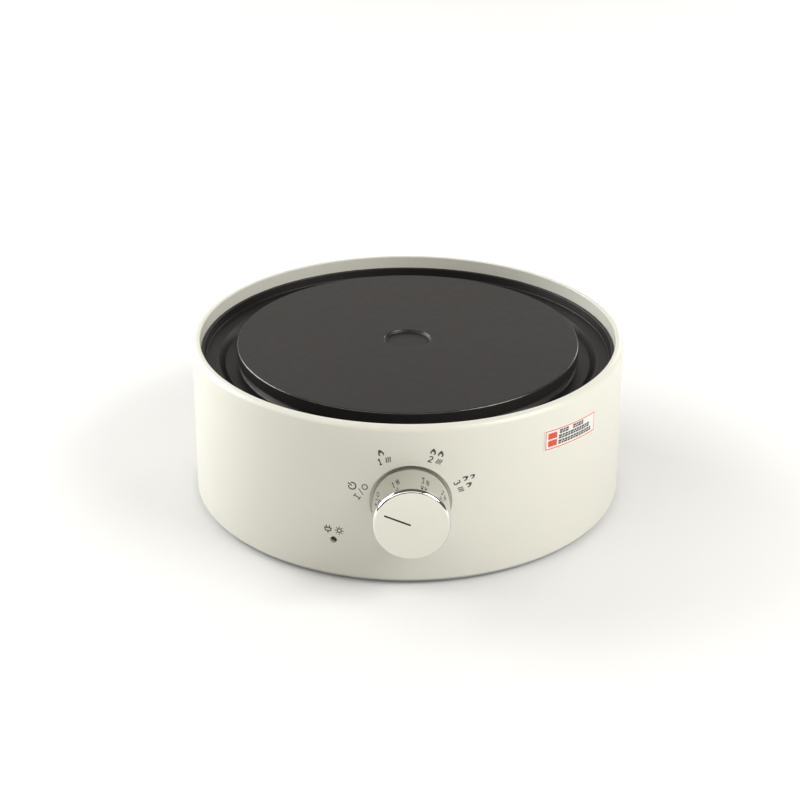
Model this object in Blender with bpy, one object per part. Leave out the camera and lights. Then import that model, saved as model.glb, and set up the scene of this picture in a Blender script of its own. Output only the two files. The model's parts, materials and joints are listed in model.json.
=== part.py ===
"""A round electric hot plate, built as an assembly of its real pieces.

A moulded casing carries a drip pan, and a cast plate sits on the pan with two ring
elements in grooves under it. A rotary switch with a knob is at the front, an appliance
inlet at the back, and the wiring runs between them over the base cover.

Metres, +Z up. The origin is on the floor under the middle of the bounding box, and the
knob faces -Y. Most pieces are placed from the casing's vertical axis.
"""

import math

import bmesh
import bpy
from mathutils import Vector

# Driving dimensions, in metres
RIM_RADIUS = 0.1150
BASE_RADIUS = 0.1156
RIM_HEIGHT = 0.0880
RIM_ROUNDING = 0.0033
RIM_INNER_RADIUS = 0.1108
RIM_INNER_EDGE = 0.0006
CASING_WALL = 0.0025
CASING_BOTTOM = 0.0034
SHELF_HEIGHT = 0.0803
SHELF_RADIUS = 0.1100
SHELF_THICKNESS = 0.0020
KNOB_PROTRUSION = 0.0232
CASING_Y = (KNOB_PROTRUSION + RIM_RADIUS - BASE_RADIUS) / 2

GAP = 0.0003  # between pieces that touch
SEGMENTS = 48  # round the large turned pieces
SMALL_SEGMENTS = 24
TINY_SEGMENTS = 12
ROD_TURN = 4  # degrees

# Heating plate
PLATE_RADIUS = 0.0915
PLATE_TOP = 0.0840
PLATE_UNDERSIDE = 0.0775
PLATE_BEVEL = 0.0008
PLATE_RECESS_RADIUS = 0.0125
PLATE_RECESS_DEPTH = 0.0015
GROOVE_ROOF = 0.0758
RIB_BOTTOM = 0.0705
OUTER_ELEMENT_RADIUS = 0.0540
INNER_ELEMENT_RADIUS = 0.0340
ELEMENT_TUBE = 0.0033
ELEMENT_HEIGHT = 0.0721
GROOVE_HALF_WIDTH = 0.0037
RIB_WIDTH = 0.0040

# Drip pan, shield and insulation
SHEET = 0.0008
PAN_SHEET = 0.0006
PAN_RADIUS = 0.1104
PAN_LIP_HEIGHT = 0.0812
PAN_LIP_EDGE = 0.1089
PAN_PLATEAU = 0.0772
PAN_TROUGH = 0.0730
PAN_LEDGE_OUTSIDE = (0.1081, 0.0767)  # radius and height
PAN_LEDGE_INSIDE = (0.1015, 0.0764)
PAN_TROUGH_OUTSIDE = 0.0976
PAN_TROUGH_INSIDE = 0.0902
PAN_PLATEAU_EDGE = 0.0870
PAN_HOLE_RADIUS = 0.0700
SHIELD_RADIUS = 0.0840
SHIELD_TOP = 0.0761
SHIELD_FLOOR = 0.0609
SHIELD_CUP_RADIUS = 0.0672
SHIELD_HOLE_RADIUS = 0.0210
INSULATION_RADIUS = 0.0660
INSULATION_HOLE_RADIUS = 0.0220
INSULATION_TOP = 0.0684
LEG_HOLE_RADIUS = 0.0050

# Fasteners
STUD_CIRCLE = 0.0770
STUD_RADIUS = 0.0025
STUD_TOP = 0.0807
STUD_BOTTOM = 0.0660
STUD_ANGLES = (90, 210, 330)
NUT_RADIUS = 0.0046
POST_CIRCLE = 0.1053
POST_RADIUS = 0.0030
POST_TOP = 0.0754
POST_BORE_RADIUS = 0.0017
BASE_SCREW_RADIUS = 0.00135
CORNER_ANGLES = (45, 135, 225, 315)
SCREW_CLEARANCE = 0.0018  # the radius of a hole that a small screw passes through

# Base cover and feet
COVER_RADIUS = 0.1146
COVER_BOTTOM = 0.0020
COVER_TOP = 0.0031
SPIGOT_OUTER_RADIUS = 0.1118
SPIGOT_INNER_RADIUS = 0.1102
SPIGOT_TOP = 0.0090
FOOT_CIRCLE = 0.0880
FOOT_RADIUS = 0.0080
FOOT_STEM_RADIUS = 0.0030
VENT_COUNT = 12

# Knob and switch, on the axis that points out of the casing's front
KNOB_HEIGHT = 0.0470
KNOB_FACE_RADIUS = 0.0176
KNOB_SHOULDER_RADIUS = 0.01905
KNOB_BASE_RADIUS = 0.0192
KNOB_SHOULDER = 0.0025  # from the face to where the side starts to curve in
KNOB_FACE = RIM_RADIUS + KNOB_PROTRUSION
KNOB_BACK = 0.1139
KNOB_SKIN = 0.0020
POINTER_REST_ANGLE = 157.5
POSITION_STEP = 45
NECK_HOLE_RADIUS = 0.0054
SEAT_RADIUS = 0.0202
SEAT_FLOOR = 0.1129
PAD_INNER_FACE = 0.1095
SHAFT_RADIUS = 0.0030
SHAFT_FLAT = 0.0020
SHAFT_END = 0.1285
SWITCH_HALF = 0.0150
SWITCH_FRONT = 0.1092
SWITCH_REAR = 0.0873
SWITCH_CAVITY_RADIUS = 0.0130
SWITCH_CAVITY_FRONT = 0.1065
SWITCH_SCREW_OFFSET = 0.0120
TAB_END = 0.0780
TERMINAL_OFFSET = 0.01045
DETENT_CAM_RADIUS = 0.0090
CONTACT_CAM_RADIUS = 0.0080
STOP_TOOTH_HALF_ANGLE = 10
STOP_MARGIN = 4
STOP_REAR = 0.1044
# The stop is a long arc: it leaves the tooth room for the three steps of the dial.
STOP_START = POINTER_REST_ANGLE + STOP_TOOTH_HALF_ANGLE + STOP_MARGIN
STOP_END = POINTER_REST_ANGLE - 3 * POSITION_STEP - STOP_TOOTH_HALF_ANGLE - STOP_MARGIN + 360

# Indicator, side label and inlet
LAMP_AZIMUTH = -19.4
LAMP_HEIGHT = 0.0227
LAMP_HOLE_RADIUS = 0.0018
LAMP_TAIL = 0.0996  # where the lamp's lead begins, from the casing's axis
LABEL_START = 35.1
LABEL_END = 54.9
LABEL_CENTRE_HEIGHT = 0.0686
LABEL_HALF_HEIGHT = 0.0059
LABEL_SLOPE = -0.045  # its rise per metre along the wall: it was stuck on slightly askew
INLET_HEIGHT = 0.0260
POCKET_FLOOR = 0.1100
INLET_PAD_FACE = 0.1070
FLANGE_HALF_WIDTH = 0.0250
FLANGE_HALF_HEIGHT = 0.0113
FLANGE_THICKNESS = 0.0020
INLET_SCREW_OFFSET = 0.0200
INLET_BODY_HALF_WIDTH = 0.0136
INLET_BODY_HALF_HEIGHT = 0.0099
INLET_REAR = 0.0900
PIN_OFFSET = 0.0070
PIN_REAR = 0.0840
PIN_PLACES = {
    "inlet_pin_live": (PIN_OFFSET, -0.0020),
    "inlet_pin_neutral": (-PIN_OFFSET, -0.0020),
    "inlet_pin_earth": (0.0, 0.0020),
}

# Thermostat and wiring
THERMOSTAT_RADIUS = 0.0085
THERMOSTAT_SCREW_OFFSET = 0.0285
THERMOSTAT_FLANGE_BOTTOM = 0.0648
FUSE_FRONT = 0.0034
FUSE_BACK = 0.0450
TAB_BOTTOM = 0.0470
FUSE_HEIGHT = 0.0530
WIRE_RADIUS = 0.0013
WIRE_STRAIGHT_END = 0.0026
SHARED_LEG_OFFSET = 0.0016
LEG_BOTTOM = 0.0540


# ---------------------------------------------------------------- tools


def clear_scene():
    for obj in list(bpy.data.objects):
        bpy.data.objects.remove(obj, do_unlink=True)


def make_material(name, colour, roughness, metallic):
    material = bpy.data.materials.new(name)
    material.use_nodes = True
    shader = material.node_tree.nodes["Principled BSDF"]
    shader.inputs["Base Color"].default_value = (*colour, 1.0)
    shader.inputs["Roughness"].default_value = roughness
    shader.inputs["Metallic"].default_value = metallic
    material.diffuse_color = (*colour, 1.0)
    return material


def add_empty(name, location=(0, 0, 0), rotation=(0, 0, 0), parent=None):
    empty = bpy.data.objects.new(name, None)
    empty.location = location
    empty.rotation_euler = rotation
    empty.parent = parent
    bpy.context.scene.collection.objects.link(empty)
    return empty


def add_object(name, mesh, material, parent, location=(0, 0, 0), rotation=(0, 0, 0)):
    mesh.shade_smooth()
    mesh.set_sharp_from_angle(angle=math.radians(30))
    mesh.materials.append(material)
    obj = bpy.data.objects.new(name, mesh)
    obj.location = location
    obj.rotation_euler = rotation
    obj.parent = parent
    bpy.context.scene.collection.objects.link(obj)
    return obj


def finished_mesh(name, shape):
    bmesh.ops.recalc_face_normals(shape, faces=shape.faces)
    mesh = bpy.data.meshes.new(name)
    shape.to_mesh(mesh)
    shape.free()
    return mesh


def turned_mesh(name, profile, segments=SEGMENTS, ring=False):
    """A profile of (radius, height) points turned round Z.

    A ring's profile is a closed outline clear of the axis. Any other profile starts
    and ends on the axis, and a flat end becomes one face.
    """
    shape = bmesh.new()
    flat_ends = [] if ring else [profile[0][1] == profile[1][1], profile[-1][1] == profile[-2][1]]
    if not ring:
        profile = profile[flat_ends[0] : len(profile) - flat_ends[1]]
    rings = []
    for radius, height in profile:
        if radius == 0:
            rings.append([shape.verts.new((0, 0, height))])
            continue
        turns = [2 * math.pi * i / segments for i in range(segments)]
        rings.append([shape.verts.new((radius * math.cos(t), radius * math.sin(t), height)) for t in turns])
    pairs = list(zip(rings, rings[1:]))
    if ring:
        pairs.append((rings[-1], rings[0]))
    for low, high in pairs:
        for i in range(segments):
            j = (i + 1) % segments
            corners = [low[i % len(low)], low[j % len(low)], high[j % len(high)], high[i % len(high)]]
            shape.faces.new(list(dict.fromkeys(corners)))
    for flat, end in zip(flat_ends, (rings[0], rings[-1])):
        if flat:
            shape.faces.new(end)
    return finished_mesh(name, shape)


def prism_mesh(name, outline, low, high):
    """An (x, y) outline extruded along Z from low to high."""
    shape = bmesh.new()
    bottom = [shape.verts.new((x, y, low)) for x, y in outline]
    face = shape.faces.new(bottom)
    extruded = bmesh.ops.extrude_face_region(shape, geom=[face])
    top = [item for item in extruded["geom"] if isinstance(item, bmesh.types.BMVert)]
    bmesh.ops.translate(shape, verts=top, vec=(0, 0, high - low))
    return finished_mesh(name, shape)


def box_mesh(name, low, high):
    outline = [(low[0], low[1]), (high[0], low[1]), (high[0], high[1]), (low[0], high[1])]
    return prism_mesh(name, outline, low[2], high[2])


def rod_mesh(name, radius, low, high, segments=SMALL_SEGMENTS):
    """A round rod, turned a little so that its corners miss its neighbours' edges."""
    outline = [on_circle(radius, ROD_TURN + 360 * i / segments) for i in range(segments)]
    return prism_mesh(name, outline, low, high)


def arc(centre, radius, start, end, steps):
    """Points from start to end degrees on an arc, both ends included."""
    points = []
    for i in range(steps + 1):
        angle = math.radians(start + (end - start) * i / steps)
        points.append((centre[0] + radius * math.cos(angle), centre[1] + radius * math.sin(angle)))
    return points


def on_circle(radius, degrees):
    return radius * math.cos(math.radians(degrees)), radius * math.sin(math.radians(degrees))


def sheet_outline(line, thickness):
    """The closed outline of a bent sheet whose upper line runs from the outside inwards."""
    normals = []
    for a, b in zip(line, line[1:]):
        run, rise = b[0] - a[0], b[1] - a[1]
        length = math.hypot(run, rise)
        normals.append((-rise / length, run / length))
    lower = []
    for point, before, after in zip(line, [normals[0], *normals], [*normals, normals[-1]]):
        scale = thickness / (1 + before[0] * after[0] + before[1] * after[1])
        lower.append((point[0] + scale * (before[0] + after[0]), point[1] + scale * (before[1] + after[1])))
    return list(line) + lower[::-1]


def change(target, tool, operation):
    """Adds the hidden tool shape to a target, or cuts it out."""
    tool.hide_render = True
    tool.display_type = "WIRE"
    boolean = target.modifiers.new(tool.name, "BOOLEAN")
    boolean.operation = operation
    boolean.object = tool


def cut(target, mesh, parent, location=(0, 0, 0), rotation=(0, 0, 0)):
    tool = add_object("cut_" + mesh.name, mesh, metal["dark"], parent, location, rotation)
    change(target, tool, "DIFFERENCE")


def unite(target, mesh, parent, location=(0, 0, 0), rotation=(0, 0, 0)):
    tool = add_object("add_" + mesh.name, mesh, metal["dark"], parent, location, rotation)
    change(target, tool, "UNION")


def smooth_route(points, spacing):
    """Points read off a Catmull-Rom curve through the route's own points, straight at its ends."""
    knots = [Vector(p) for p in points]
    lead_in = knots[0] + (knots[1] - knots[0]).normalized() * WIRE_STRAIGHT_END
    lead_out = knots[-1] + (knots[-2] - knots[-1]).normalized() * WIRE_STRAIGHT_END
    knots = [knots[0], lead_in, *knots[1:-1], lead_out, knots[-1]]
    knots = [2 * knots[0] - knots[1], *knots, 2 * knots[-1] - knots[-2]]
    route = []
    for a, b, c, d in zip(knots, knots[1:], knots[2:], knots[3:]):
        steps = max(1, round((c - b).length / spacing))
        for i in range(steps):
            t = i / steps
            bend = (2 * a - 5 * b + 4 * c - d) * t * t + (3 * b - a - 3 * c + d) * t**3
            route.append(b + ((c - a) * t + bend) / 2)
    return route + [knots[-2]]


def add_tube(name, route, radius, material, parent):
    curve = bpy.data.curves.new(name, "CURVE")
    curve.dimensions = "3D"
    curve.bevel_depth = radius
    curve.bevel_resolution = 2
    curve.use_fill_caps = True
    spline = curve.splines.new("POLY")
    spline.points.add(len(route) - 1)
    for point, place in zip(spline.points, route):
        point.co = (*place, 1.0)
    curve.materials.append(material)
    obj = bpy.data.objects.new(name, curve)
    obj.parent = parent
    bpy.context.scene.collection.objects.link(obj)
    return obj


def radial_frame(name, azimuth, height):
    """An empty at the casing's axis: local Z points out at the azimuth, local Y up."""
    turn = (math.pi / 2, 0, math.radians(azimuth))
    return add_empty(name, (0, 0, height), turn, casing_axis)


# ---------------------------------------------------------------- casing and base


def wall_pad_mesh(name, half_width, inner_face, low, high):
    """A thickening of the front or back wall, flat inside and ending within the wall."""
    reach = RIM_RADIUS - CASING_WALL / 2
    spread = math.degrees(math.asin(half_width / reach))
    outer = arc((0, 0), reach, -90 - spread, -90 + spread, 8)
    return prism_mesh(name, [*outer, (half_width, -inner_face), (-half_width, -inner_face)], low, high)


def make_casing():
    shelf_underside = SHELF_HEIGHT - SHELF_THICKNESS
    rim_centre = (RIM_RADIUS - RIM_ROUNDING, RIM_HEIGHT - RIM_ROUNDING)
    profile = [
        (BASE_RADIUS - CASING_WALL, CASING_BOTTOM),
        (BASE_RADIUS, CASING_BOTTOM),
        *arc(rim_centre, RIM_ROUNDING, 0, 90, 4),
        (RIM_INNER_RADIUS + RIM_INNER_EDGE, RIM_HEIGHT),
        (RIM_INNER_RADIUS, RIM_HEIGHT - RIM_INNER_EDGE),
        (RIM_INNER_RADIUS, SHELF_HEIGHT),
        (SHELF_RADIUS, SHELF_HEIGHT),
        (SHELF_RADIUS, shelf_underside),
        (RIM_RADIUS - CASING_WALL, shelf_underside - SHELF_THICKNESS),
    ]
    casing = add_object(
        "outer_casing", turned_mesh("outer_casing", profile, ring=True), plastic["white"], casing_axis
    )
    half_width, half_height = 0.026, 0.025
    low, high = KNOB_HEIGHT - half_height, KNOB_HEIGHT + half_height
    knob_pad = wall_pad_mesh("knob_pad", half_width, PAD_INNER_FACE, low, high)
    unite(casing, knob_pad, casing_axis)
    half_width, half_height = 0.029, 0.015
    low, high = INLET_HEIGHT - half_height, INLET_HEIGHT + half_height
    inlet_pad = wall_pad_mesh("inlet_pad", half_width, INLET_PAD_FACE, low, high)
    unite(casing, inlet_pad, casing_axis, rotation=(0, 0, math.pi))

    outside = BASE_RADIUS + 0.010
    cut(casing, rod_mesh("knob_seat", SEAT_RADIUS, SEAT_FLOOR, outside, 40), front_axis)
    cut(casing, rod_mesh("neck_hole", NECK_HOLE_RADIUS, 0.100, outside), front_axis)
    for side in (-1, 1):
        place = (side * SWITCH_SCREW_OFFSET, -side * SWITCH_SCREW_OFFSET, 0)
        hole = [
            (0, 0.100),
            (SCREW_CLEARANCE, 0.100),
            (SCREW_CLEARANCE, 0.1114),
            (0.0030, 0.1114),
            (0.0030, outside),
            (0, outside),
        ]
        cut(casing, turned_mesh("switch_screw_hole", hole, TINY_SEGMENTS), front_axis, place)
    cut(casing, rod_mesh("lamp_hole", LAMP_HOLE_RADIUS, 0.100, outside), lamp_axis)

    pocket_width = FLANGE_HALF_WIDTH + 0.0008
    pocket_height = FLANGE_HALF_HEIGHT + 0.0005
    pocket = box_mesh(
        "inlet_pocket", (-pocket_width, -pocket_height, POCKET_FLOOR), (pocket_width, pocket_height, outside)
    )
    cut(casing, pocket, inlet_axis)
    aperture_width = INLET_BODY_HALF_WIDTH + GAP + 0.0001
    aperture_height = INLET_BODY_HALF_HEIGHT + GAP + 0.0001
    aperture_low = (-aperture_width, -aperture_height, 0.100)
    aperture_high = (aperture_width, aperture_height, outside)
    aperture = box_mesh("inlet_aperture", aperture_low, aperture_high)
    cut(casing, aperture, inlet_axis)
    for side in (-1, 1):
        hole = rod_mesh("inlet_screw_hole", SCREW_CLEARANCE, 0.100, outside, TINY_SEGMENTS)
        cut(casing, hole, inlet_axis, (side * INLET_SCREW_OFFSET, 0, 0))


def make_base():
    profile = [
        (0, COVER_BOTTOM),
        (COVER_RADIUS, COVER_BOTTOM),
        (COVER_RADIUS, COVER_TOP),
        (SPIGOT_OUTER_RADIUS, COVER_TOP),
        (SPIGOT_OUTER_RADIUS, SPIGOT_TOP),
        (SPIGOT_INNER_RADIUS, SPIGOT_TOP),
        (SPIGOT_INNER_RADIUS, COVER_TOP),
        (0, COVER_TOP),
    ]
    cover = add_object("base_cover", turned_mesh("base_cover", profile), metal["zinc"], casing_axis)
    vent_start, vent_end, vent_half_width = 0.040, 0.062, 0.0015
    for i in range(VENT_COUNT):
        low = (vent_start, -vent_half_width, 0)
        high = (vent_end, vent_half_width, SPIGOT_TOP)
        turn = (0, 0, 2 * math.pi * i / VENT_COUNT)
        cut(cover, box_mesh("vent", low, high), casing_axis, rotation=turn)

    barb, clip_top = 0.0009, COVER_TOP + 0.0016
    foot_profile = [
        (0, 0),
        (FOOT_RADIUS - 0.0005, 0),
        (FOOT_RADIUS, 0.0005),
        (FOOT_RADIUS, COVER_BOTTOM - GAP),
        (FOOT_STEM_RADIUS, COVER_BOTTOM - GAP),
        (FOOT_STEM_RADIUS, COVER_TOP + GAP),
        (FOOT_STEM_RADIUS + barb, COVER_TOP + GAP),
        (FOOT_STEM_RADIUS, clip_top),
        (0, clip_top),
    ]
    head_radius, head_bottom, head_chamfer = 0.0036, 0.0003, 0.0006
    screw_profile = [
        (0, head_bottom),
        (head_radius - head_chamfer, head_bottom),
        (head_radius, head_bottom + head_chamfer),
        (head_radius, COVER_BOTTOM - GAP),
        (BASE_SCREW_RADIUS, COVER_BOTTOM - GAP),
        (BASE_SCREW_RADIUS, 0.016),
        (0, 0.017),
    ]
    bore_top = 0.018
    post_bottom = COVER_TOP + GAP
    post_profile = [
        (0, bore_top),
        (POST_BORE_RADIUS, bore_top - 0.001),
        (POST_BORE_RADIUS, post_bottom),
        (POST_RADIUS, post_bottom),
        (POST_RADIUS, POST_TOP),
        (0, POST_TOP),
    ]
    foot_mesh = turned_mesh("foot", foot_profile, 16)
    screw_mesh = turned_mesh("base_screw", screw_profile, TINY_SEGMENTS)
    post_mesh = turned_mesh("pan_post", post_profile, TINY_SEGMENTS)
    for number, angle in enumerate(CORNER_ANGLES, 1):
        foot_place = (*on_circle(FOOT_CIRCLE, angle), 0)
        post_place = (*on_circle(POST_CIRCLE, angle), 0)
        add_object(f"foot_{number}", foot_mesh.copy(), rubber, casing_axis, foot_place)
        add_object(f"base_screw_{number}", screw_mesh.copy(), metal["steel"], casing_axis, post_place)
        add_object(f"pan_post_{number}", post_mesh.copy(), metal["zinc"], casing_axis, post_place)
        foot_hole = rod_mesh("foot_hole", FOOT_STEM_RADIUS + 0.0004, 0, 0.006, TINY_SEGMENTS)
        cut(cover, foot_hole, casing_axis, foot_place)
        screw_hole = rod_mesh("screw_hole", POST_BORE_RADIUS, 0, 0.006, TINY_SEGMENTS)
        cut(cover, screw_hole, casing_axis, post_place)


# ---------------------------------------------------------------- pan, plate and heating


def make_pan():
    upper_line = [
        (PAN_RADIUS, PAN_LIP_HEIGHT),
        (PAN_LIP_EDGE, PAN_LIP_HEIGHT),
        PAN_LEDGE_OUTSIDE,
        PAN_LEDGE_INSIDE,
        (PAN_TROUGH_OUTSIDE, PAN_TROUGH),
        (PAN_TROUGH_INSIDE, PAN_TROUGH),
        (PAN_PLATEAU_EDGE, PAN_PLATEAU),
        (PAN_HOLE_RADIUS, PAN_PLATEAU),
    ]
    outline = sheet_outline(upper_line, PAN_SHEET)
    pan = add_object("drip_pan", turned_mesh("drip_pan", outline, ring=True), metal["enamel"], casing_axis)
    for angle in STUD_ANGLES:
        hole = rod_mesh("pan_stud_hole", STUD_RADIUS + 0.0005, 0.070, 0.080, TINY_SEGMENTS)
        cut(pan, hole, casing_axis, (*on_circle(STUD_CIRCLE, angle), 0))


def groove(radius):
    """The downward groove round one element, as points running inwards."""
    outer, inner = radius + GROOVE_HALF_WIDTH, radius - GROOVE_HALF_WIDTH
    return [(outer, RIB_BOTTOM), (outer, GROOVE_ROOF), (inner, GROOVE_ROOF), (inner, RIB_BOTTOM)]


def make_plate():
    outer_rib = OUTER_ELEMENT_RADIUS + GROOVE_HALF_WIDTH + RIB_WIDTH
    inner_rib = INNER_ELEMENT_RADIUS - GROOVE_HALF_WIDTH - RIB_WIDTH
    recess_floor = PLATE_TOP - PLATE_RECESS_DEPTH
    fillet = 0.0006
    profile = [
        (0, recess_floor),
        (PLATE_RECESS_RADIUS - fillet, recess_floor),
        (PLATE_RECESS_RADIUS, recess_floor + fillet),
        (PLATE_RECESS_RADIUS, PLATE_TOP),
        (PLATE_RADIUS - PLATE_BEVEL, PLATE_TOP),
        (PLATE_RADIUS, PLATE_TOP - PLATE_BEVEL),
        (PLATE_RADIUS, PLATE_UNDERSIDE),
        (outer_rib, PLATE_UNDERSIDE),
        (outer_rib, RIB_BOTTOM),
        *groove(OUTER_ELEMENT_RADIUS),
        *groove(INNER_ELEMENT_RADIUS),
        (inner_rib, RIB_BOTTOM),
        (inner_rib, PLATE_UNDERSIDE),
        (0, PLATE_UNDERSIDE),
    ]
    plate = add_object("heating_plate", turned_mesh("heating_plate", profile), metal["cast"], casing_axis)
    stud_profile = [(0, STUD_BOTTOM), (STUD_RADIUS, STUD_BOTTOM), (STUD_RADIUS, STUD_TOP), (0, STUD_TOP)]
    stud_mesh = turned_mesh("plate_stud", stud_profile, TINY_SEGMENTS)
    nut_bottom, nut_top = 0.0706, SHIELD_TOP - SHEET - GAP
    nut_bore = STUD_RADIUS + 0.0004
    nut_outline = [on_circle(NUT_RADIUS, 60 * i) for i in range(6)]
    for number, angle in enumerate(STUD_ANGLES, 1):
        place = (*on_circle(STUD_CIRCLE, angle), 0)
        add_object(f"plate_stud_{number}", stud_mesh.copy(), metal["zinc"], casing_axis, place)
        nut_mesh = prism_mesh("plate_nut", nut_outline, nut_bottom, nut_top)
        nut = add_object(f"plate_nut_{number}", nut_mesh, metal["steel"], casing_axis, place)
        bore_mesh = rod_mesh("nut_bore", nut_bore, nut_bottom - 0.002, nut_top + 0.002, TINY_SEGMENTS)
        cut(nut, bore_mesh, casing_axis, place)
        hole_low, hole_high = PLATE_UNDERSIDE - 0.002, STUD_TOP + GAP
        tapped_hole = rod_mesh("tapped_hole", nut_bore, hole_low, hole_high, TINY_SEGMENTS)
        cut(plate, tapped_hole, casing_axis, place)


def element_route(radius, middle_angle, half_gap):
    """A ring that is open round middle_angle, with each end bent down into a leg."""
    bend = 0.0060
    bend_steps = 3
    ring_steps = 24
    start, end = middle_angle + half_gap, middle_angle + 360 - half_gap
    ring = [on_circle(radius, start + (end - start) * i / ring_steps) for i in range(ring_steps + 1)]
    route = [Vector((x, y, ELEMENT_HEIGHT)) for x, y in ring]
    first_leg, last_leg = [], []
    for leg, angle, direction in ((first_leg, start, -1), (last_leg, end, 1)):
        tangent = Vector((-math.sin(math.radians(angle)), math.cos(math.radians(angle)), 0)) * direction
        corner = Vector((*on_circle(radius, angle), ELEMENT_HEIGHT))
        for i in range(1, bend_steps + 1):
            turn = math.pi / 2 * i / bend_steps
            leg.append(corner + tangent * bend * math.sin(turn) - Vector((0, 0, bend * (1 - math.cos(turn)))))
        leg.append(Vector((leg[-1].x, leg[-1].y, LEG_BOTTOM)))
    return first_leg[::-1] + route + last_leg


def make_heating():
    add_tube("heating_element_outer", outer_route, ELEMENT_TUBE, metal["sheath"], casing_axis)
    add_tube("heating_element_inner", inner_route, ELEMENT_TUBE, metal["sheath"], casing_axis)

    insulation_bottom = SHIELD_FLOOR + GAP
    insulation_outline = [
        (INSULATION_RADIUS, insulation_bottom),
        (INSULATION_RADIUS, INSULATION_TOP),
        (INSULATION_HOLE_RADIUS, INSULATION_TOP),
        (INSULATION_HOLE_RADIUS, insulation_bottom),
    ]
    insulation = add_object(
        "insulation_disc", turned_mesh("insulation_disc", insulation_outline, 28, True), fibre, casing_axis
    )
    brim_bend, floor_bend = 0.0016, 0.0010
    upper_line = [
        (SHIELD_RADIUS, SHIELD_TOP),
        (SHIELD_CUP_RADIUS + brim_bend, SHIELD_TOP),
        (SHIELD_CUP_RADIUS, SHIELD_TOP - brim_bend),
        (SHIELD_CUP_RADIUS, SHIELD_FLOOR + floor_bend),
        (SHIELD_CUP_RADIUS - floor_bend, SHIELD_FLOOR),
        (SHIELD_HOLE_RADIUS, SHIELD_FLOOR),
    ]
    shield_mesh = turned_mesh("heat_shield", sheet_outline(upper_line, SHEET), 28, True)
    shield = add_object("heat_shield", shield_mesh, metal["zinc"], casing_axis)
    leg_places = [outer_route[0], outer_route[-1], inner_route[0], inner_route[-1]]
    for leg in leg_places:
        for target in (insulation, shield):
            hole = rod_mesh("leg_hole", LEG_HOLE_RADIUS, 0.055, 0.075, TINY_SEGMENTS)
            cut(target, hole, casing_axis, (leg.x, leg.y, 0))
    for side in (-1, 1):
        for target in (insulation, shield):
            hole = rod_mesh("thermostat_screw_hole", POST_BORE_RADIUS, 0.055, 0.075, TINY_SEGMENTS)
            cut(target, hole, casing_axis, (side * THERMOSTAT_SCREW_OFFSET, 0, 0))
    for angle in STUD_ANGLES:
        hole = rod_mesh("shield_stud_hole", STUD_RADIUS + 0.0005, 0.073, 0.079, TINY_SEGMENTS)
        cut(shield, hole, casing_axis, (*on_circle(STUD_CIRCLE, angle), 0))


def make_thermostat():
    body_radius, flange_radius, flange_top, body_bottom = 0.0080, 0.0105, 0.0660, 0.0550
    sensing_face, face_edge = PLATE_UNDERSIDE - 0.0004, 0.0010
    tab_offset, tab_half_thickness, tab_half_width = 0.0040, 0.0004, 0.0031
    profile = [
        (0, body_bottom),
        (body_radius, body_bottom),
        (body_radius, THERMOSTAT_FLANGE_BOTTOM),
        (flange_radius, THERMOSTAT_FLANGE_BOTTOM),
        (flange_radius, flange_top),
        (THERMOSTAT_RADIUS, flange_top),
        (THERMOSTAT_RADIUS, sensing_face - face_edge),
        (THERMOSTAT_RADIUS - face_edge, sensing_face),
        (0, sensing_face),
    ]
    thermostat = add_object(
        "thermostat", turned_mesh("thermostat", profile, SMALL_SEGMENTS), plastic["phenolic"], casing_axis
    )
    for side in (-1, 1):
        low = (side * tab_offset - tab_half_thickness, -tab_half_width, TAB_BOTTOM)
        high = (side * tab_offset + tab_half_thickness, tab_half_width, body_bottom + 0.001)
        unite(thermostat, box_mesh("thermostat_tab", low, high), casing_axis)

    strip = 0.0012
    seat = THERMOSTAT_FLANGE_BOTTOM - GAP
    ends = SHIELD_FLOOR - SHEET - GAP
    inner, outer, tip = 0.0145, 0.0170, 0.0335
    upper_line = [(tip, ends), (outer, ends), (inner, seat), (-inner, seat), (-outer, ends), (-tip, ends)]
    bracket_mesh = prism_mesh("thermostat_bracket", sheet_outline(upper_line, strip), -0.010, 0.010)
    bracket = add_object(
        "thermostat_bracket", bracket_mesh, metal["zinc"], casing_axis, rotation=(math.pi / 2, 0, 0)
    )
    cut(bracket, rod_mesh("bracket_collar", 0.0084, 0.060, 0.070), casing_axis)
    head_top = ends - strip - GAP
    head_radius, head_depth, head_chamfer = 0.0028, 0.0018, 0.0005
    screw_profile = [
        (0, head_top - head_depth),
        (head_radius - head_chamfer, head_top - head_depth),
        (head_radius, head_top - head_depth + head_chamfer),
        (head_radius, head_top),
        (BASE_SCREW_RADIUS, head_top),
        (BASE_SCREW_RADIUS, 0.0640),
        (0, 0.0650),
    ]
    for number, side in enumerate((-1, 1), 1):
        place = (side * THERMOSTAT_SCREW_OFFSET, 0, 0)
        screw_mesh = turned_mesh("thermostat_screw", screw_profile, TINY_SEGMENTS)
        add_object(f"thermostat_screw_{number}", screw_mesh, metal["steel"], casing_axis, place)
        hole_mesh = rod_mesh("bracket_hole", POST_BORE_RADIUS, 0.055, 0.065, TINY_SEGMENTS)
        cut(bracket, hole_mesh, casing_axis, place)

    lead, fuse_body = 0.0006, 0.0022
    body_front, body_back, taper = 0.0225, 0.0335, 0.0012
    fuse_profile = [
        (0, FUSE_FRONT),
        (lead, FUSE_FRONT),
        (lead, body_front - taper),
        (fuse_body, body_front),
        (fuse_body, body_back),
        (lead, body_back + taper),
        (lead, FUSE_BACK),
        (0, FUSE_BACK),
    ]
    fuse_mesh = turned_mesh("thermal_fuse", fuse_profile, TINY_SEGMENTS)
    place, turn = (-0.0040, 0, FUSE_HEIGHT), (-math.pi / 2, 0, 0)
    add_object("thermal_fuse", fuse_mesh, metal["steel"], casing_axis, place, turn)


# ---------------------------------------------------------------- switch and knob


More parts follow.
